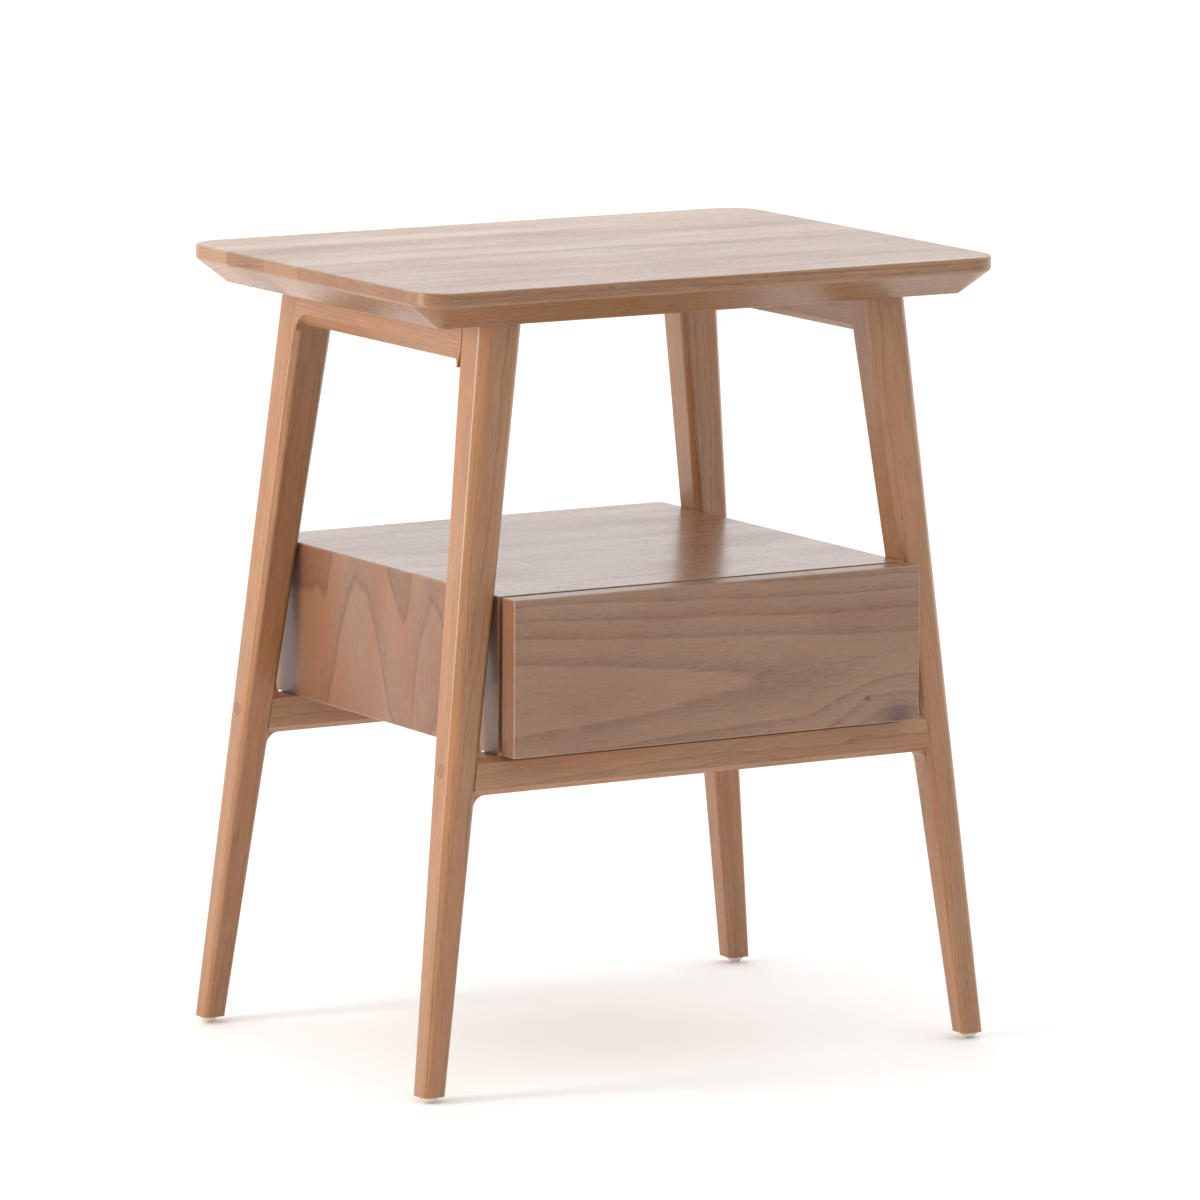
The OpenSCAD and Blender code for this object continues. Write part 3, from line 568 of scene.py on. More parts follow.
back_ply = timber("back panel ply", tone(200, 160, 128), tone(150, 108, 80), V_BLUSH, ring=5,
                  taper=0.1, wander=14, contrast=0.4, gloss=0.55)

# %% [markdown]
# ## Metal and moulded plastic
# Fixings are plated steel: nearly mirror-like, but clouded by the plating bath and scuffed by
# the driver. Slides are rolled from zinc-plated strip, so their fine lines run lengthwise. The
# glides are moulded plastic, off-white, with a little grey dirt near the floor.

# %% Metals and plastic
def plated(name, colour, rough=0.3, brush=(900, 30, 900), cloud=60):
    material, w, shader = new_finish(name)
    place = w.add("ShaderNodeTexCoord").outputs["Object"]
    lines = w.noise(w.stretch(place, *brush), detail=2.0)
    clouds = w.noise(place, scale=cloud, detail=3.0)
    shade = w.mix(w.spread(clouds, 0.3, 0.7, 0, 0.35), colour, tuple(
        c * 0.7 for c in colour[:3]) + (1,))
    rough = w.spread(w.sum("ADD", lines, clouds), 0.6, 1.4, rough - 0.08, rough + 0.15)
    w.wire(shader, {"Base Color": shade, "Roughness": rough,
                    "Normal": w.bump(lines, 0.03 * mm, 0.4)})
    shader.inputs["Metallic"].default_value = 1
    return material


slide_steel = plated("zinc slide steel", tone(188, 192, 196), 0.32)
cage_steel = plated("cage strip", tone(150, 152, 150), 0.4)
ball_steel = plated("bearing balls", tone(205, 206, 208), 0.12, (200, 200, 200))
screw_steel = plated("plated screws", tone(196, 186, 160), 0.28, (400, 400, 400))
nail_steel = plated("nail steel", tone(170, 172, 174), 0.35, (300, 300, 300))

glide_plastic, w, shader = new_finish("glide plastic")
place = w.add("ShaderNodeTexCoord").outputs["Object"]
grit = w.noise(place, scale=900, detail=3.0)
scuff = w.sum("MULTIPLY", w.spread(w.split(place)[2], 0, 2 * mm, 0.8, 0.1),
              w.spread(grit, 0.35, 0.65))
w.wire(shader, {"Base Color": w.mix(scuff, tone(232, 226, 214), tone(150, 142, 132)),
                "Roughness": w.spread(grit, 0.3, 0.7, 0.38, 0.55),
                "Normal": w.bump(grit, 0.05 * mm, 0.3)})
shader.inputs["Subsurface Weight"].default_value = 0.05

# %% [markdown]
# ## The top
# On the real table the top is glued from staves, then shaped on the spindle moulder: an upright
# band along the edge, and a long bevel under it that makes a thick board look thin. Every level
# of that edge is the same rounded rectangle drawn a little smaller, so a ring per level makes
# the whole shape, and small arcs in the profile ease its edges.

# %% Tabletop
CORNER, BAND, UNDERCUT = 28 * mm, 10.5 * mm, 24 * mm
low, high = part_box("tabletop")
half_w, half_d = high.x, high.y
profile = rounded([(half_w, low.z), (UNDERCUT, low.z), (0, high.z - BAND), (0, high.z),
                   (half_w, high.z)], [0, 1.4 * mm, 3 * mm, 1.2 * mm, 0], steps=5)[1:-1]


def level(inset, arc_steps=14):
    """The top's outline, drawn in by inset."""
    radius = CORNER - inset
    ring = []
    for quarter, (sx, sy) in enumerate(((1, 1), (-1, 1), (-1, -1), (1, -1))):
        for k in range(arc_steps + 1):
            angle = (quarter + k / arc_steps) * math.pi / 2
            ring.append((sx * (half_w - CORNER) + radius * math.cos(angle),
                         sy * (half_d - CORNER) + radius * math.sin(angle)))
    return ring


top = loft("staved_top", [[(x, y, z) for x, y in level(inset)] for inset, z in profile])
complete(top, "table", "top_timber", "tabletop", top_timber, X, Y, seed=4)

# %% [markdown]
# ## The legs
# A leg follows one rule: a square with cut corners, which shrinks evenly from the top to the
# foot while its centre line leans out both ways. A rule is what Geometry Nodes are for. The tree
# pushes a flat section up, then moves each point by how high it stands. Four settings of
# the same tree make four mirrored legs.

# %% The rule of a leg
TOP_SECTION, FOOT_SECTION = 35 * mm, 19 * mm
leg_low, leg_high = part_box("leg_rear_right")
LEG_TOP = Vector((leg_low.x + TOP_SECTION / 2, leg_low.y + TOP_SECTION / 2, leg_high.z))
LEG_FOOT = Vector((leg_high.x - FOOT_SECTION / 2, leg_high.y - FOOT_SECTION / 2, leg_low.z))


def tree_with(name, *inputs):
    tree = bpy.data.node_groups.new(name, "GeometryNodeTree")
    tree.interface.new_socket("Geometry", in_out="INPUT", socket_type="NodeSocketGeometry")
    for label, kind in inputs:
        tree.interface.new_socket(label, in_out="INPUT", socket_type=kind)
    tree.interface.new_socket("Geometry", in_out="OUTPUT", socket_type="NodeSocketGeometry")
    wiring = Wiring(tree)
    return tree, wiring, wiring.add("NodeGroupInput").outputs


def run_tree(obj, tree, **values):
    """Sets the tree's inputs by identifier, takes what it makes, and removes it."""
    grower = obj.modifiers.new(tree.name, "NODES")
    grower.node_group = tree
    for item in tree.interface.items_tree:
        if item.item_type == "SOCKET" and item.in_out == "INPUT" and item.name in values:
            grower[item.identifier] = values[item.name]
    obj.update_tag()
    return frozen(obj)


def close_tree(wiring, geometry, finish):
    """The last nodes of a tree: real geometry in one material."""
    real = wiring.add("GeometryNodeRealizeInstances", {0: geometry})
    done = wiring.add("GeometryNodeSetMaterial", {"Geometry": real.outputs[0],
                                                  "Material": finish})
    wiring.add("NodeGroupOutput", {0: done.outputs[0]})


leg_tree, g, given = tree_with("tapered leaning post", ("Height", "NodeSocketFloat"),
                               ("Top section", "NodeSocketFloat"),
                               ("Foot section", "NodeSocketFloat"),
                               ("Foot centre", "NodeSocketVector"),
                               ("Lean", "NodeSocketVector"), ("Finish", "NodeSocketMaterial"))
raised = g.add("GeometryNodeExtrudeMesh", {"Mesh": given["Geometry"], "Offset": Z,
               "Offset Scale": given["Height"], "Individual": False})
under = g.add("GeometryNodeFlipFaces", {0: given["Geometry"]})
both = g.add("GeometryNodeJoinGeometry")
for part in (raised.outputs[0], under.outputs[0]):
    g.tree.links.new(part, both.inputs[0])
closed = g.add("GeometryNodeMergeByDistance", {0: both.outputs[0]})
point = g.add("GeometryNodeInputPosition").outputs[0]
share = g.sum("DIVIDE", g.split(point)[2], given["Height"])
size = g.add("ShaderNodeMapRange", {"Value": share, 3: given["Foot section"],
             4: given["Top section"]}).outputs[0]
flat = g.add("ShaderNodeCombineXYZ", {0: size, 1: size, 2: 1.0}).outputs[0]
sized = g.vector("MULTIPLY", point, flat)
leaned = g.add("ShaderNodeVectorMath", {0: given["Lean"], "Scale": share},
               operation="SCALE").outputs[0]
moved = g.vector("ADD", g.vector("ADD", sized, leaned), given["Foot centre"])
placed = g.add("GeometryNodeSetPosition", {"Geometry": closed.outputs[0], "Position": moved})
close_tree(g, placed.outputs[0], given["Finish"])

# %% Four legs
OUTER_CUT, INNER_CUT = 0.2, 0.14
OUTER_EASE, INNER_EASE = 2.2 * mm, 1.3 * mm


def leg_section(sx, sy):
    """A unit square with its corners cut, most of all at the table's outer corner."""
    o, i = OUTER_CUT, INNER_CUT
    return [(sx * x, sy * y) for x, y in (
        (0.5, 0.5 - o), (0.5 - o, 0.5), (i - 0.5, 0.5), (-0.5, 0.5 - i), (-0.5, i - 0.5),
        (i - 0.5, -0.5), (0.5 - i, -0.5), (0.5, i - 0.5))]


def leg_solid(name, sx, sy, grown=0.0):
    bm = bmesh.new()
    section = leg_section(sx, sy)
    bm.faces.new([bm.verts.new((x, y, 0)) for x, y in section])
    obj = to_object(bm, name)
    if obj.data.polygons[0].normal.z < 0:
        obj.data.flip_normals()
    lean = LEG_TOP - LEG_FOOT
    run_tree(obj, leg_tree, Height=lean.z, Finish=frame_timber, **{
        "Top section": TOP_SECTION + grown, "Foot section": FOOT_SECTION + grown,
        "Foot centre": Vector((sx * LEG_FOOT.x, sy * LEG_FOOT.y, LEG_FOOT.z)),
        "Lean": Vector((sx * lean.x, sy * lean.y, 0))})
    return obj


PLUG_RADIUS, PLUG_DEPTH = 5 * mm, 5 * mm
plug_low, plug_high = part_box("leg_plugs")
plug_z = (plug_low.z + plug_high.z) / 2


def leg_at(z):
    """Centre and half width of the rear right leg at a height."""
    share = (z - LEG_FOOT.z) / (LEG_TOP.z - LEG_FOOT.z)
    centre = LEG_FOOT.lerp(LEG_TOP, share)
    return centre.x, centre.y, (FOOT_SECTION + (TOP_SECTION - FOOT_SECTION) * share) / 2


def along_leg(edge, sx, sy, outer):
    """True for the long edges of the outer chamfer, or for all the other long edges."""
    low, high = sorted((v.co for v in edge.verts), key=lambda co: co.z)
    x, y, _ = leg_at(low.z)
    outside = sx * low.x > x and sy * low.y > y
    return high.z - low.z > 0.1 and outside == outer


for number, (sx, sy) in enumerate(CORNERS):
    corner = END_NAMES[sy] + "_" + SIDE_NAMES[sx]
    leg = leg_solid("post_" + corner, sx, sy)
    for radius, outer in ((OUTER_EASE, True), (INNER_EASE, False)):
        ease(leg, radius, steps=4, sharp=20, choose=lambda e: along_leg(e, sx, sy, outer))
    x, y, half = leg_at(plug_z)
    cut(leg, rod("hole", (sx * (x + half - PLUG_DEPTH), sy * y, plug_z),
                 (sx * (x + half + 2 * mm), sy * y, plug_z), PLUG_RADIUS + 0.12 * mm, sides=48))
    lean = LEG_TOP - LEG_FOOT
    complete(leg, "table", "frame_timber", "leg_" + corner, None,
             (sx * lean.x, sy * lean.y, lean.z), X, seed=20 + number,
             origin=(sx * LEG_FOOT.x, sy * LEG_FOOT.y, LEG_FOOT.z))

# %% [markdown]
# ## Rails and stretchers
# Each is shaped from two views: the end view gives its bevels, the side view gives the round
# ears that swell towards the legs. What both views share is the piece. The legs are then cut
# out of its ends, a hair wider than they are, so a fine dark joint line stays, as on wood that
# has moved a little since it was glued.

# %% Side rails
JOINT_LINE = 0.06 * mm
WRAP, RAIL_WRAP, TIP_WRAP, WRAP_FADE = 2.4 * mm, 4.4 * mm, 0.4 * mm, 12 * mm
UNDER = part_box("rail_right")[1].z
RAIL_Z, RAIL_T, EAR = UNDER - 31 * mm, 24 * mm, 15 * mm
BEVEL_W, BEVEL_H = 9 * mm, 10 * mm
SOFT = 0.9 * mm


def leg_face(axis, way):
    """A function of height that tells where the outer or inner face of a leg stands."""
    return lambda z: leg_at(z)[axis] + way * leg_at(z)[2]


outer_x, inner_x, outer_y, inner_y = (leg_face(axis, way) for axis in (0, 1) for way in (1, -1))
EAR_Z = RAIL_Z + BEVEL_H - EAR
RISE_Y = (inner_y(0) - inner_y(UNDER)) / UNDER
LEAN_Y = math.sqrt(1 + RISE_Y * RISE_Y)
RAIL_LOW = EAR_Z + EAR * RISE_Y / LEAN_Y


def rail_end():
    c = 5 * mm
    return [(outer_x(UNDER), UNDER), (outer_x(RAIL_LOW), RAIL_LOW),
            (outer_x(RAIL_LOW) - RAIL_T + c, RAIL_LOW), (outer_x(RAIL_Z) - RAIL_T + c, RAIL_Z),
            (outer_x(RAIL_Z + c) - RAIL_T, RAIL_Z + c), (outer_x(UNDER) - RAIL_T, UNDER)]


def ear_arc(cy, cz, radius, start, end, steps=14):
    """Points of an ear's hollow, from one angle to another."""
    angles = (start + (end - start) * k / steps for k in range(steps + 1))
    return [(cy + radius * math.cos(a), cz + radius * math.sin(a)) for a in angles]


def rail_side():
    fade = RAIL_LOW + WRAP_FADE
    half = [(inner_y(UNDER) + RAIL_WRAP, UNDER), (inner_y(fade) + RAIL_WRAP, fade),
            (inner_y(RAIL_LOW) + TIP_WRAP, RAIL_LOW)]
    return mirrored(half)


def hollow_ring(sx, x, radius):
    """The hole between two legs, seen from the side, with round upper corners."""
    cy = inner_y(EAR_Z) - radius * LEAN_Y
    half = [(cy + radius, EAR_Z - 3 * mm)] + ear_arc(cy, EAR_Z, radius, 0, math.pi / 2, steps=8)
    return [(sx * x, y, z) for y, z in mirrored(half)]


def rail_hollow(sx):
    """What is cut away under a rail: level inside, then widening with the bevel."""
    inner, edge = outer_x(RAIL_Z) - BEVEL_W, outer_x(RAIL_Z + BEVEL_H)
    past = 4 * mm
    wide = EAR + BEVEL_H * past / (edge - inner)
    return loft("hollow", [hollow_ring(sx, outer_x(RAIL_Z) - RAIL_T - past, EAR - BEVEL_H),
                           hollow_ring(sx, inner, EAR - BEVEL_H),
                           hollow_ring(sx, edge + past, wide)])


TOP_SCREW_DEPTH, PANEL_HEAD = 8 * mm, 4.2 * mm
screw_low, screw_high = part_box("top_screws")
TOP_SCREW_X = screw_high.x - PANEL_HEAD
TOP_SCREW_YS = (screw_low.y + PANEL_HEAD, 0, screw_high.y - PANEL_HEAD)

for sx in SIDES:
    side = SIDE_NAMES[sx]
    rail = prism("under_rail_" + side, rail_end(), -half_d, half_d,
                 lambda a, b, t: (sx * a, t, b))
    cut(rail, prism("view", rail_side(), 0.1, 0.3, lambda a, b, t: (sx * t, a, b)),
        how="INTERSECT")
    cut(rail, rail_hollow(sx))
    ease(rail, SOFT, choose=lambda e: all(
        RAIL_LOW + 2.5 * mm < v.co.z < UNDER - 1 * mm for v in e.verts))
    cut(rail, *(leg_solid("leg", sx, sy, grown=JOINT_LINE) for sy in SIDES))
    cut(rail, *(rod("sink", (sx * TOP_SCREW_X, y, RAIL_Z + TOP_SCREW_DEPTH),
                    (sx * TOP_SCREW_X, y, RAIL_Z - 1 * mm), 4.4 * mm) for y in TOP_SCREW_YS))
    complete(rail, "table", "frame_timber", "rail_" + side, frame_timber, Y, Z,
             seed=31 + sx, origin=(sx * 0.16, 0, UNDER))

# %% Stretchers
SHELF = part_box("case_bottom")[0].z
STRETCH_H, STRETCH_T, STRETCH_EAR = 28 * mm, 25 * mm, 10 * mm
STRETCH_Z = SHELF - STRETCH_H
CASE_SCREW_DEPTH = 7 * mm
case_screw_low, case_screw_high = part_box("case_screws")
CASE_SCREW_X = case_screw_high.x - PANEL_HEAD
CASE_SCREW_Y = case_screw_high.y - PANEL_HEAD


def stretcher_end():
    c, t = 4 * mm, STRETCH_T
    low, high = STRETCH_Z - STRETCH_EAR, SHELF + 2 * STRETCH_EAR
    corners = [(outer_y(high) - c, high), (outer_y(SHELF) - c, SHELF),
               (outer_y(SHELF - c), SHELF - c), (outer_y(STRETCH_Z + c), STRETCH_Z + c),
               (outer_y(STRETCH_Z) - c, STRETCH_Z), (outer_y(low) - c, low),
               (outer_y(low) - t + c, low), (outer_y(STRETCH_Z) - t + c, STRETCH_Z),
               (outer_y(STRETCH_Z + c) - t, STRETCH_Z + c),
               (outer_y(SHELF - 1 * mm) - t, SHELF - 1 * mm), (outer_y(SHELF) - t + 1 * mm, SHELF),
               (outer_y(high) - t + c, high)]
    return rounded(corners, [0, SOFT, SOFT, SOFT, SOFT, 0, 0, SOFT, SOFT, 0, 0, 0])


def stretcher_front():
    rise = (inner_x(0) - inner_x(UNDER)) / UNDER
    lean = math.sqrt(1 + rise * rise)
    tip = math.atan2(rise, 1)
    r = STRETCH_EAR
    low_z, high_z = STRETCH_Z - r, SHELF + r
    low_x, high_x = inner_x(low_z) - r * lean, inner_x(high_z) - r * lean
    half = ear_arc(high_x, high_z, r, -math.pi / 2, tip, steps=12)
    half += [(inner_x(half[-1][1]) + WRAP, half[-1][1])]
    low_half = ear_arc(low_x, low_z, r, tip, math.pi / 2, steps=12)
    half += [(inner_x(low_half[0][1]) + WRAP, low_half[0][1])] + low_half
    return mirrored(half)


for sy in SIDES:
    end = END_NAMES[sy]
    bar = prism("cross_bar_" + end, stretcher_end(), -half_w, half_w,
                lambda a, b, t: (t, sy * a, b))
    cut(bar, prism("view", stretcher_front(), 0.1, 0.2, lambda a, b, t: (a, sy * t, b)),
        how="INTERSECT")
    cut(bar, *(leg_solid("leg", sx, sy, grown=JOINT_LINE) for sx in SIDES))
    cut(bar, *(rod("sink", (sx * CASE_SCREW_X, sy * CASE_SCREW_Y, STRETCH_Z + CASE_SCREW_DEPTH),
                   (sx * CASE_SCREW_X, sy * CASE_SCREW_Y, STRETCH_Z - 1 * mm), 4.4 * mm)
               for sx in SIDES))
    complete(bar, "table", "frame_timber", "stretcher_" + end, frame_timber, X,
             Z, seed=45 + sy, origin=(0, sy * 0.15, SHELF))

# %% [markdown]
# ## The drawer case
# Four veneered panels meet in mitres, so only a fine diagonal line shows at each corner. Each
# panel is drawn from the front as a trapezoid, with half of the corner's small rounding at each
# end, and pushed back through the depth of the case. A rebate at the rear takes the back panel.

# %% Case panels
case_low, case_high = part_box("case_left")[0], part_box("case_right")[1]
PANEL, CASE_ROUND, REBATE = 15 * mm, 1.1 * mm, 8 * mm
case_w, case_h = case_high.x * 2, case_high.z - case_low.z
case_mid = Vector((0, 0, (case_high.z + case_low.z) / 2))
HAIR = 0.06 * mm


def mitred(width, steps=3):
    """One panel seen from the front, its outer face at height 0, mitred at both ends."""
    r = CASE_ROUND
    end = []
    for k in range(steps + 1):
        angle = math.pi / 2 - math.pi / 4 * k / steps
        end.append((width / 2 - r + r * math.cos(angle) - HAIR, -r + r * math.sin(angle)))
    end.append((width / 2 - PANEL - HAIR, -PANEL))
    return mirrored(end)


def case_panel(side, width, quarter, distance, finish, along, across, start):
    turn = Matrix.Rotation(math.radians(90 * quarter), 2)

    def place(a, b, t):
        x, z = turn @ Vector((a, b + distance))
        return x, t, z + case_mid.z

    panel = prism("panel_" + side, mitred(width), case_low.y, case_high.y, place)
    ease(panel, 0.8 * mm, choose=lambda e: abs(e.verts[0].co.y - e.verts[1].co.y)
         < 1e-5, sharp=60)
    inner = PANEL - REBATE
    cut(panel, board("rebate", (inner - case_high.x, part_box("case_back")[0].y,
                                case_low.z + inner),
                     (case_high.x - inner, case_high.y + 1 * mm, case_high.z - inner)))
    complete(panel, "table", "veneered_panel", "case_" + side, finish, along, across,
             origin=case_mid, flat=True, start=start)


case_pieces = (
    ("top", case_w, 0, case_h / 2, veneer_top, X, Y, (0.4, 0.03, 0.05)),
    ("right", case_h, 3, case_w / 2, veneer_side, Z, Y, (0.7, 0.04, 0.06)),
    ("bottom", case_w, 2, case_h / 2, veneer_top, X, Y, (1.4, -0.05, 0.05)),
    ("left", case_h, 1, case_w / 2, veneer_side, Z, Y, (0.231, -0.005, 0.4)))
for recipe in case_pieces:
    case_panel(*recipe)

# %% Back panel
low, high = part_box("case_back")
back = ease(board("panel_back", low, high), 0.5 * mm, steps=2)
back_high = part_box("back_screws")[1]
BACK_HEAD = 3.2 * mm
edge_x, edge_z = back_high.x - BACK_HEAD, back_high.z - BACK_HEAD
BACK_SCREWS = [(x, case_mid.z + s * (edge_z - case_mid.z)) for s in SIDES
               for x in (-110 * mm, 0, 110 * mm)] + [(s * edge_x, case_mid.z) for s in SIDES]
cut(back, *(rod("sink", (x, high.y - 2 * mm, z), (x, high.y + 1 * mm, z), 3.3 * mm)
            for x, z in BACK_SCREWS))
complete(back, "table", "back_panel", "case_back", back_ply, X, Z, seed=61,
         origin=case_mid, flat=True)

# %% [markdown]
# ## The drawer
# The front is a veneered board lipped on its four edges. The box behind it is plain solid
# timber with its top edges eased for the hand, and the thin bottom slides in a groove that runs
# round all four sides.

# %% Drawer front
low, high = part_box("drawer_front")
front = ease(board("drawer_face", low, high), 1.0 * mm)
mark_eased_edges(front)
lay_grain(front, X, Z, 0, origin=(low + high) / 2, flat=True,
          start=(0, 0.017, 0.06))
for finish in (veneer_front, lipping):
    front.data.materials.append(finish)
for face in front.data.polygons:
    face.material_index = 1 if abs(face.normal.x) > 0.9 else 0
shade_softly(front)
fit_piece(front, "drawer", "veneered_panel", "drawer_front")

# %% Drawer box
groove_low, groove_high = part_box("drawer_bottom")
GROOVE_PLAY = Vector((0.5 * mm, 0.5 * mm, 0.1 * mm))


def box_board(name, node, along, seed):
    low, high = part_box(node)
    piece = ease(board(name, low, high), 1.2 * mm, choose=lambda e: min(
        v.co.z for v in e.verts) > high.z - 1e-5 and abs((e.verts[0].co - e.verts[1].co).dot(
            Vector(along))) > 0.01)
    cut(piece, board("groove", groove_low - GROOVE_PLAY, groove_high + GROOVE_PLAY))
    complete(piece, "drawer", "drawer_box_timber", node, drawer_wood, along, Z, seed,
             origin=(low + high) / 2)


for number, (name, node, along) in enumerate((
        ("box_side_left", "drawer_left", Y), ("box_side_right", "drawer_right", Y),
        ("box_front", "drawer_inner_front", X), ("box_rear", "drawer_rear", X))):
    box_board(name, node, along, 81 + number)
base = ease(board("box_base", groove_low, groove_high), 0.3 * mm, steps=2)
complete(base, "drawer", "drawer_base_panel", "drawer_bottom", base_ply, X, Y,
         seed=90, origin=(groove_low + groove_high) / 2, flat=True)

# %% [markdown]
# ## Ball slides
# Three strips of rolled steel nest in each other on each side, with rows of balls between them.
# Each is one bent line with a wall thickness, pushed along the slide, so the outline is drawn
# as the bent line's two sides with rounded bends.

# %% Slide members
WALL = 1.2 * mm


def channel_outline(depth, half, bend=2.4 * mm):
    """A strip bent to a channel: its web at 0, its flanges reaching to depth."""
    w = WALL
    return rounded([(0, -half), (depth, -half), (depth, w - half), (w, w - half),
                    (w, half - w), (depth, half - w), (depth, half), (0, half)],
                   [bend, 0.5 * mm, 0.5 * mm, bend - w, bend - w, 0.5 * mm, 0.5 * mm, bend])


def slide_member(name, node, body, wall_side):
    """wall_side is +1 where the web is at the box's high x."""
    low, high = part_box(node)
    middle = (low + high) / 2
    outline = channel_outline(high.x - low.x, (high.z - low.z) / 2)
    web = high.x if wall_side > 0 else low.x
    member = prism(name, outline, low.y, high.y,
                   lambda a, b, t: (web - wall_side * a, t, middle.z + b))
    length = high.y - low.y
    holes = [low.y + length * share for share in (0.14, 0.3, 0.62, 0.86)]
    cut(member, *(rod("hole", (web - 3 * mm, y, middle.z), (web + 3 * mm, y, middle.z),
                      2.3 * mm, sides=20) for y in holes))
    mark_eased_edges(member, narrow=0.6 * mm)
    shade_softly(member, 45)
    member.data.materials.append(slide_steel)
    fit_piece(member, body, "slide_steel", node)


for sx in SIDES:
    side = SIDE_NAMES[sx]
    slide_member("runner_case_" + side, "slide_case_" + side, "table", sx)
    slide_member("runner_middle_" + side, "slide_middle_" + side, "slide_middle_" + side, sx)
    slide_member("runner_drawer_" + side, "slide_drawer_" + side, "drawer", -sx)

# %% CAD nodes that stay
# Cages, dowels and splines keep their own shapes and only take a finish.
finishes = {f"cage_{row}_{side}": cage_steel for row in ("outer", "inner")
            for side in ("left", "right")}
for node in ("rail_dowels", "stretcher_dowels", "case_splines", "drawer_dowels"):
    finishes[node] = dowel_timber
for node, finish in finishes.items():
    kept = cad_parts[node]
    kept.data.materials.clear()
    kept.data.materials.append(finish)
    if finish is dowel_timber:
        mark_eased_edges(kept)
        lay_grain(kept, Y, Z, seed=99)

# %% [markdown]
# ## Screws, plugs, balls, glides and nails
# One fixing is turned on the lathe, and Geometry Nodes set it out at every point where the
# table has one, head outwards, each turned by chance about its own axis, because no two screws
# stop at the same angle. The chance has a fixed seed, so each run is the same.

# %% The setting-out tree
set_out, g, given = tree_with("set out fixings", ("Fixing", "NodeSocketObject"),
                              ("Spin seed", "NodeSocketInt"), ("Spin", "NodeSocketFloat"),
                              ("Finish", "NodeSocketMaterial"))
master = g.add("GeometryNodeObjectInfo", {"Object": given["Fixing"]}).outputs["Geometry"]
outward = g.add("GeometryNodeInputNamedAttribute", {"Name": "outward"},
                data_type="FLOAT_VECTOR").outputs[0]
aimed_out = g.add("FunctionNodeAlignRotationToVector", {"Vector": outward}, axis="Z").outputs[0]
chance = g.add("FunctionNodeRandomValue", {2: 0.0, 3: given["Spin"],
               "Seed": given["Spin seed"]}, data_type="FLOAT").outputs[1]
spin = g.add("FunctionNodeAxisAngleToRotation", {"Axis": Z, "Angle": chance}).outputs[0]
turned_out = g.add("FunctionNodeRotateRotation", {0: aimed_out, 1: spin},
                   rotation_space="LOCAL").outputs[0]
copies = g.add("GeometryNodeInstanceOnPoints", {"Points": given["Geometry"],
               "Instance": master, "Rotation": turned_out})
close_tree(g, copies.outputs[0], given["Finish"])


def turned(name, profile, sides=20, driver=0.0):
    """A piece turned on the lathe from (radius, height) points, with a cross recess."""
    bm = bmesh.new()
    rings = []
    for r, z in profile:
        if r == 0:
            rings.append([bm.verts.new((0, 0, z))])
        else:
            rings.append([bm.verts.new((r * math.cos(a), r * math.sin(a), z))
                          for a in (math.tau * k / sides for k in range(sides))])
    for one, two in zip(rings, rings[1:]):
        for k in range(sides):
            n = (k + 1) % sides
            corners = [one[k % len(one)], one[n % len(one)], two[n % len(two)], two[k % len(two)]]
            face = list(dict.fromkeys(corners))
            if len(face) > 2:
                bm.faces.new(face)
    obj = to_object(bm, name)
    if driver:
        top_z = max(z for _, z in profile)
        for a, b in ((driver, driver * 0.24), (driver * 0.24, driver)):
            cut(obj, board("blade", (-a, -b, top_z - driver), (a, b, top_z + 1 * mm)))
    return obj


def fixings(name, body, slot, finish, master, spots, nodes, spin=math.tau, grain=None):
    """spots are (point, outward) pairs in metres."""
    mesh = bpy.data.meshes.new(name)
    mesh.from_pydata([p for p, _ in spots], [], [])
    ways = mesh.attributes.new("outward", "FLOAT_VECTOR", "POINT")
    ways.data.foreach_set("vector", [c for _, way in spots for c in way])
    obj = in_scene(name, mesh)
    run_tree(obj, set_out, Fixing=master, Spin=spin, Finish=finish, **{"Spin seed": len(spots)})
    if grain:
        mark_eased_edges(obj)
        lay_grain(obj, *grain)
    shade_softly(obj, 40)
    fit_piece(obj, body, slot, *nodes)


def drive(name, body, master, spots, node):
    """Sets out plated screws."""
    fixings(name, body, "screw_steel", screw_steel, master, spots, [node])


# %% Screws
def screw(name, shank, head, head_depth, length, driver):
    """Its head's top is at height 0, and its tip points down."""
    thread = []
    z, pitch = -head_depth - 1 * mm, shank * 0.9
    while z > -length + shank * 2:
        thread += [(shank * 0.72, z), (shank, z - pitch * 0.4), (shank, z - pitch * 0.5)]
        z -= pitch
    return turned(name, [(0, 0), (head * 0.9, 0), (head, -head_depth * 0.15),
                         (head, -head_depth * 0.3), (shank, -head_depth)] + thread
                  + [(shank * 0.7, z), (0, -length)], driver=driver)


LONG_HEAD, FRONT_HEAD = 4.6 * mm, 3.8 * mm
long_screw = screw("long screw", 2.6 * mm, LONG_HEAD, 4 * mm, 59 * mm, 1.9 * mm)
panel_screw = screw("panel screw", 2.25 * mm, PANEL_HEAD, 3 * mm, 44 * mm, 1.9 * mm)
case_screw = screw("case screw", 2.25 * mm, PANEL_HEAD, 3 * mm, 34 * mm, 1.9 * mm)
back_screw = screw("back screw", 1.6 * mm, BACK_HEAD, 1.8 * mm, 14.8 * mm, 1.2 * mm)
front_screw = screw("front screw", 2 * mm, FRONT_HEAD, 2.2 * mm, 25 * mm, 1.6 * mm)
slide_screw = screw("slide screw", 1.7 * mm, 3.2 * mm, 0.9 * mm, 12.8 * mm, 1.1 * mm)

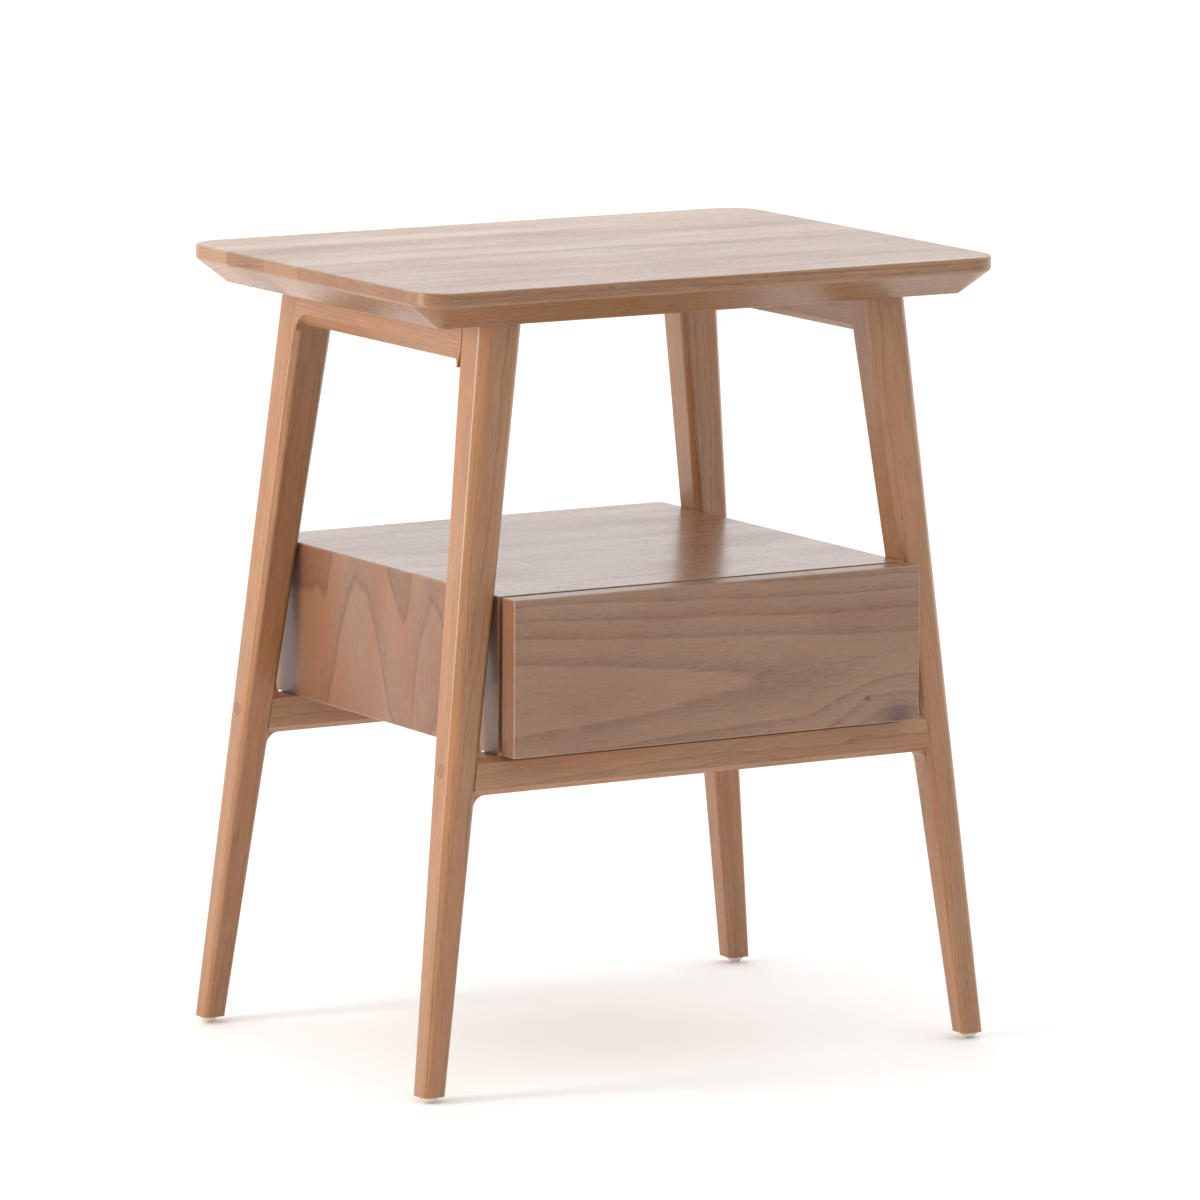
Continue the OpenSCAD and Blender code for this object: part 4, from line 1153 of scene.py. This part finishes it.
low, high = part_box("stretcher_screws")
screw_z = (low.z + high.z) / 2
drive("leg_bolts", "table", long_screw,
      [((sx * high.x, sy * (high.y - LONG_HEAD), screw_z), (sx, 0, 0)) for sx, sy in CORNERS],
      "stretcher_screws")
drive("top_fixings", "table", panel_screw,
      [((sx * TOP_SCREW_X, y, screw_low.z), (0, 0, -1)) for sx in SIDES for y in TOP_SCREW_YS],
      "top_screws")
drive("case_fixings", "table", case_screw,
      [((sx * CASE_SCREW_X, sy * CASE_SCREW_Y, case_screw_low.z), (0, 0, -1))
       for sx, sy in CORNERS], "case_screws")
drive("back_fixings", "table", back_screw,
      [((x, back_high.y, z), Y) for x, z in BACK_SCREWS], "back_screws")
low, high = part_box("front_screws")
drive("front_fixings", "drawer", front_screw,
      [((sx * (high.x - FRONT_HEAD), high.y, z), Y) for sx in SIDES
       for z in (low.z + FRONT_HEAD, high.z - FRONT_HEAD)], "front_screws")
for name, node, body, ys, way in (
        ("case_runner_fixings", "slide_case_screws", "table", (-140, -10, 120), -1),
        ("drawer_runner_fixings", "slide_drawer_screws", "drawer", (-145, -20, 105), 1)):
    low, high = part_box(node)
    z = (low.z + high.z) / 2
    inner = high.x - 12.95 * mm if way < 0 else high.x
    drive(name, body, slide_screw,
          [((sx * inner, y * mm, z), (sx * way, 0, 0)) for sx in SIDES for y in ys], node)

# %% Plugs, balls, glides and nails
plug = turned("plug", [(0, 0), (PLUG_RADIUS - 0.25 * mm, 0), (PLUG_RADIUS, -0.25 * mm),
                       (PLUG_RADIUS, -PLUG_DEPTH), (0, -PLUG_DEPTH)], sides=40)
x, y, half = leg_at(plug_z)
lean_out = (LEG_FOOT.x - LEG_TOP.x) / (LEG_TOP.z - LEG_FOOT.z)
fixings("screw_plugs", "table", "plug_timber", plug_timber, plug,
        [((sx * (x + half - 0.05 * mm), sy * y, plug_z), (sx, 0, lean_out))
         for sx, sy in CORNERS], ["leg_plugs"], grain=(X, Y, 7))

BALL_RADIUS = 2.36 * mm
ball = turned("ball", [(BALL_RADIUS * math.sin(a), BALL_RADIUS * math.cos(a))
                       for a in (math.pi * k / 10 for k in range(11))], sides=16)
for kind in ("outer", "inner"):
    for sx in SIDES:
        place = kind + "_" + SIDE_NAMES[sx]
        low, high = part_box("balls_" + place)
        r = (high.x - low.x) / 2
        rows = [(((low.x + high.x) / 2, low.y + r + k * 18 * mm, z), Z)
                for z in (low.z + r, high.z - r) for k in range(6)]
        fixings("bearings_" + place, "cage_" + place, "ball_steel", ball_steel, ball, rows,
                ["balls_" + place])

low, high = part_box("glide_front_left")
glide_r, glide_h = (high.x - low.x) / 2, high.z
glide = turned("glide", [(0, -glide_h), (3.0 * mm, -glide_h), (3.6 * mm, -glide_h + 0.3 * mm),
                         (glide_r - 0.5 * mm, -1.4 * mm), (glide_r, -1.0 * mm),
                         (glide_r, -0.3 * mm), (glide_r - 0.3 * mm, 0), (0, 0)], sides=40)
centre = (low + high) / 2
spots = [((sx * abs(centre.x), sy * abs(centre.y), glide_h), Z) for sx, sy in CORNERS]
fixings("foot_glides", "table", "glide_plastic", glide_plastic, glide, spots,
        [f"glide_{end}_{side}" for end in ("front", "rear") for side in ("left", "right")])

low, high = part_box("glide_nails")
nail = turned("nail", [(0, 0), (1.0 * mm, -2 * mm), (1.1 * mm, -high.z + 3 * mm),
                       (3.2 * mm, -high.z + low.z + 1 * mm), (3.4 * mm, -high.z + low.z + 0.6 * mm),
                       (3.2 * mm, -high.z + low.z), (0, -high.z + low.z)])
fixings("glide_pins", "table", "nail_steel", nail_steel, nail,
        [((x, y, high.z), Z) for (x, y, _), _ in spots], ["glide_nails"])
for master in (long_screw, panel_screw, case_screw, back_screw, front_screw, slide_screw, plug,
               ball, glide, nail):
    bpy.data.objects.remove(master)
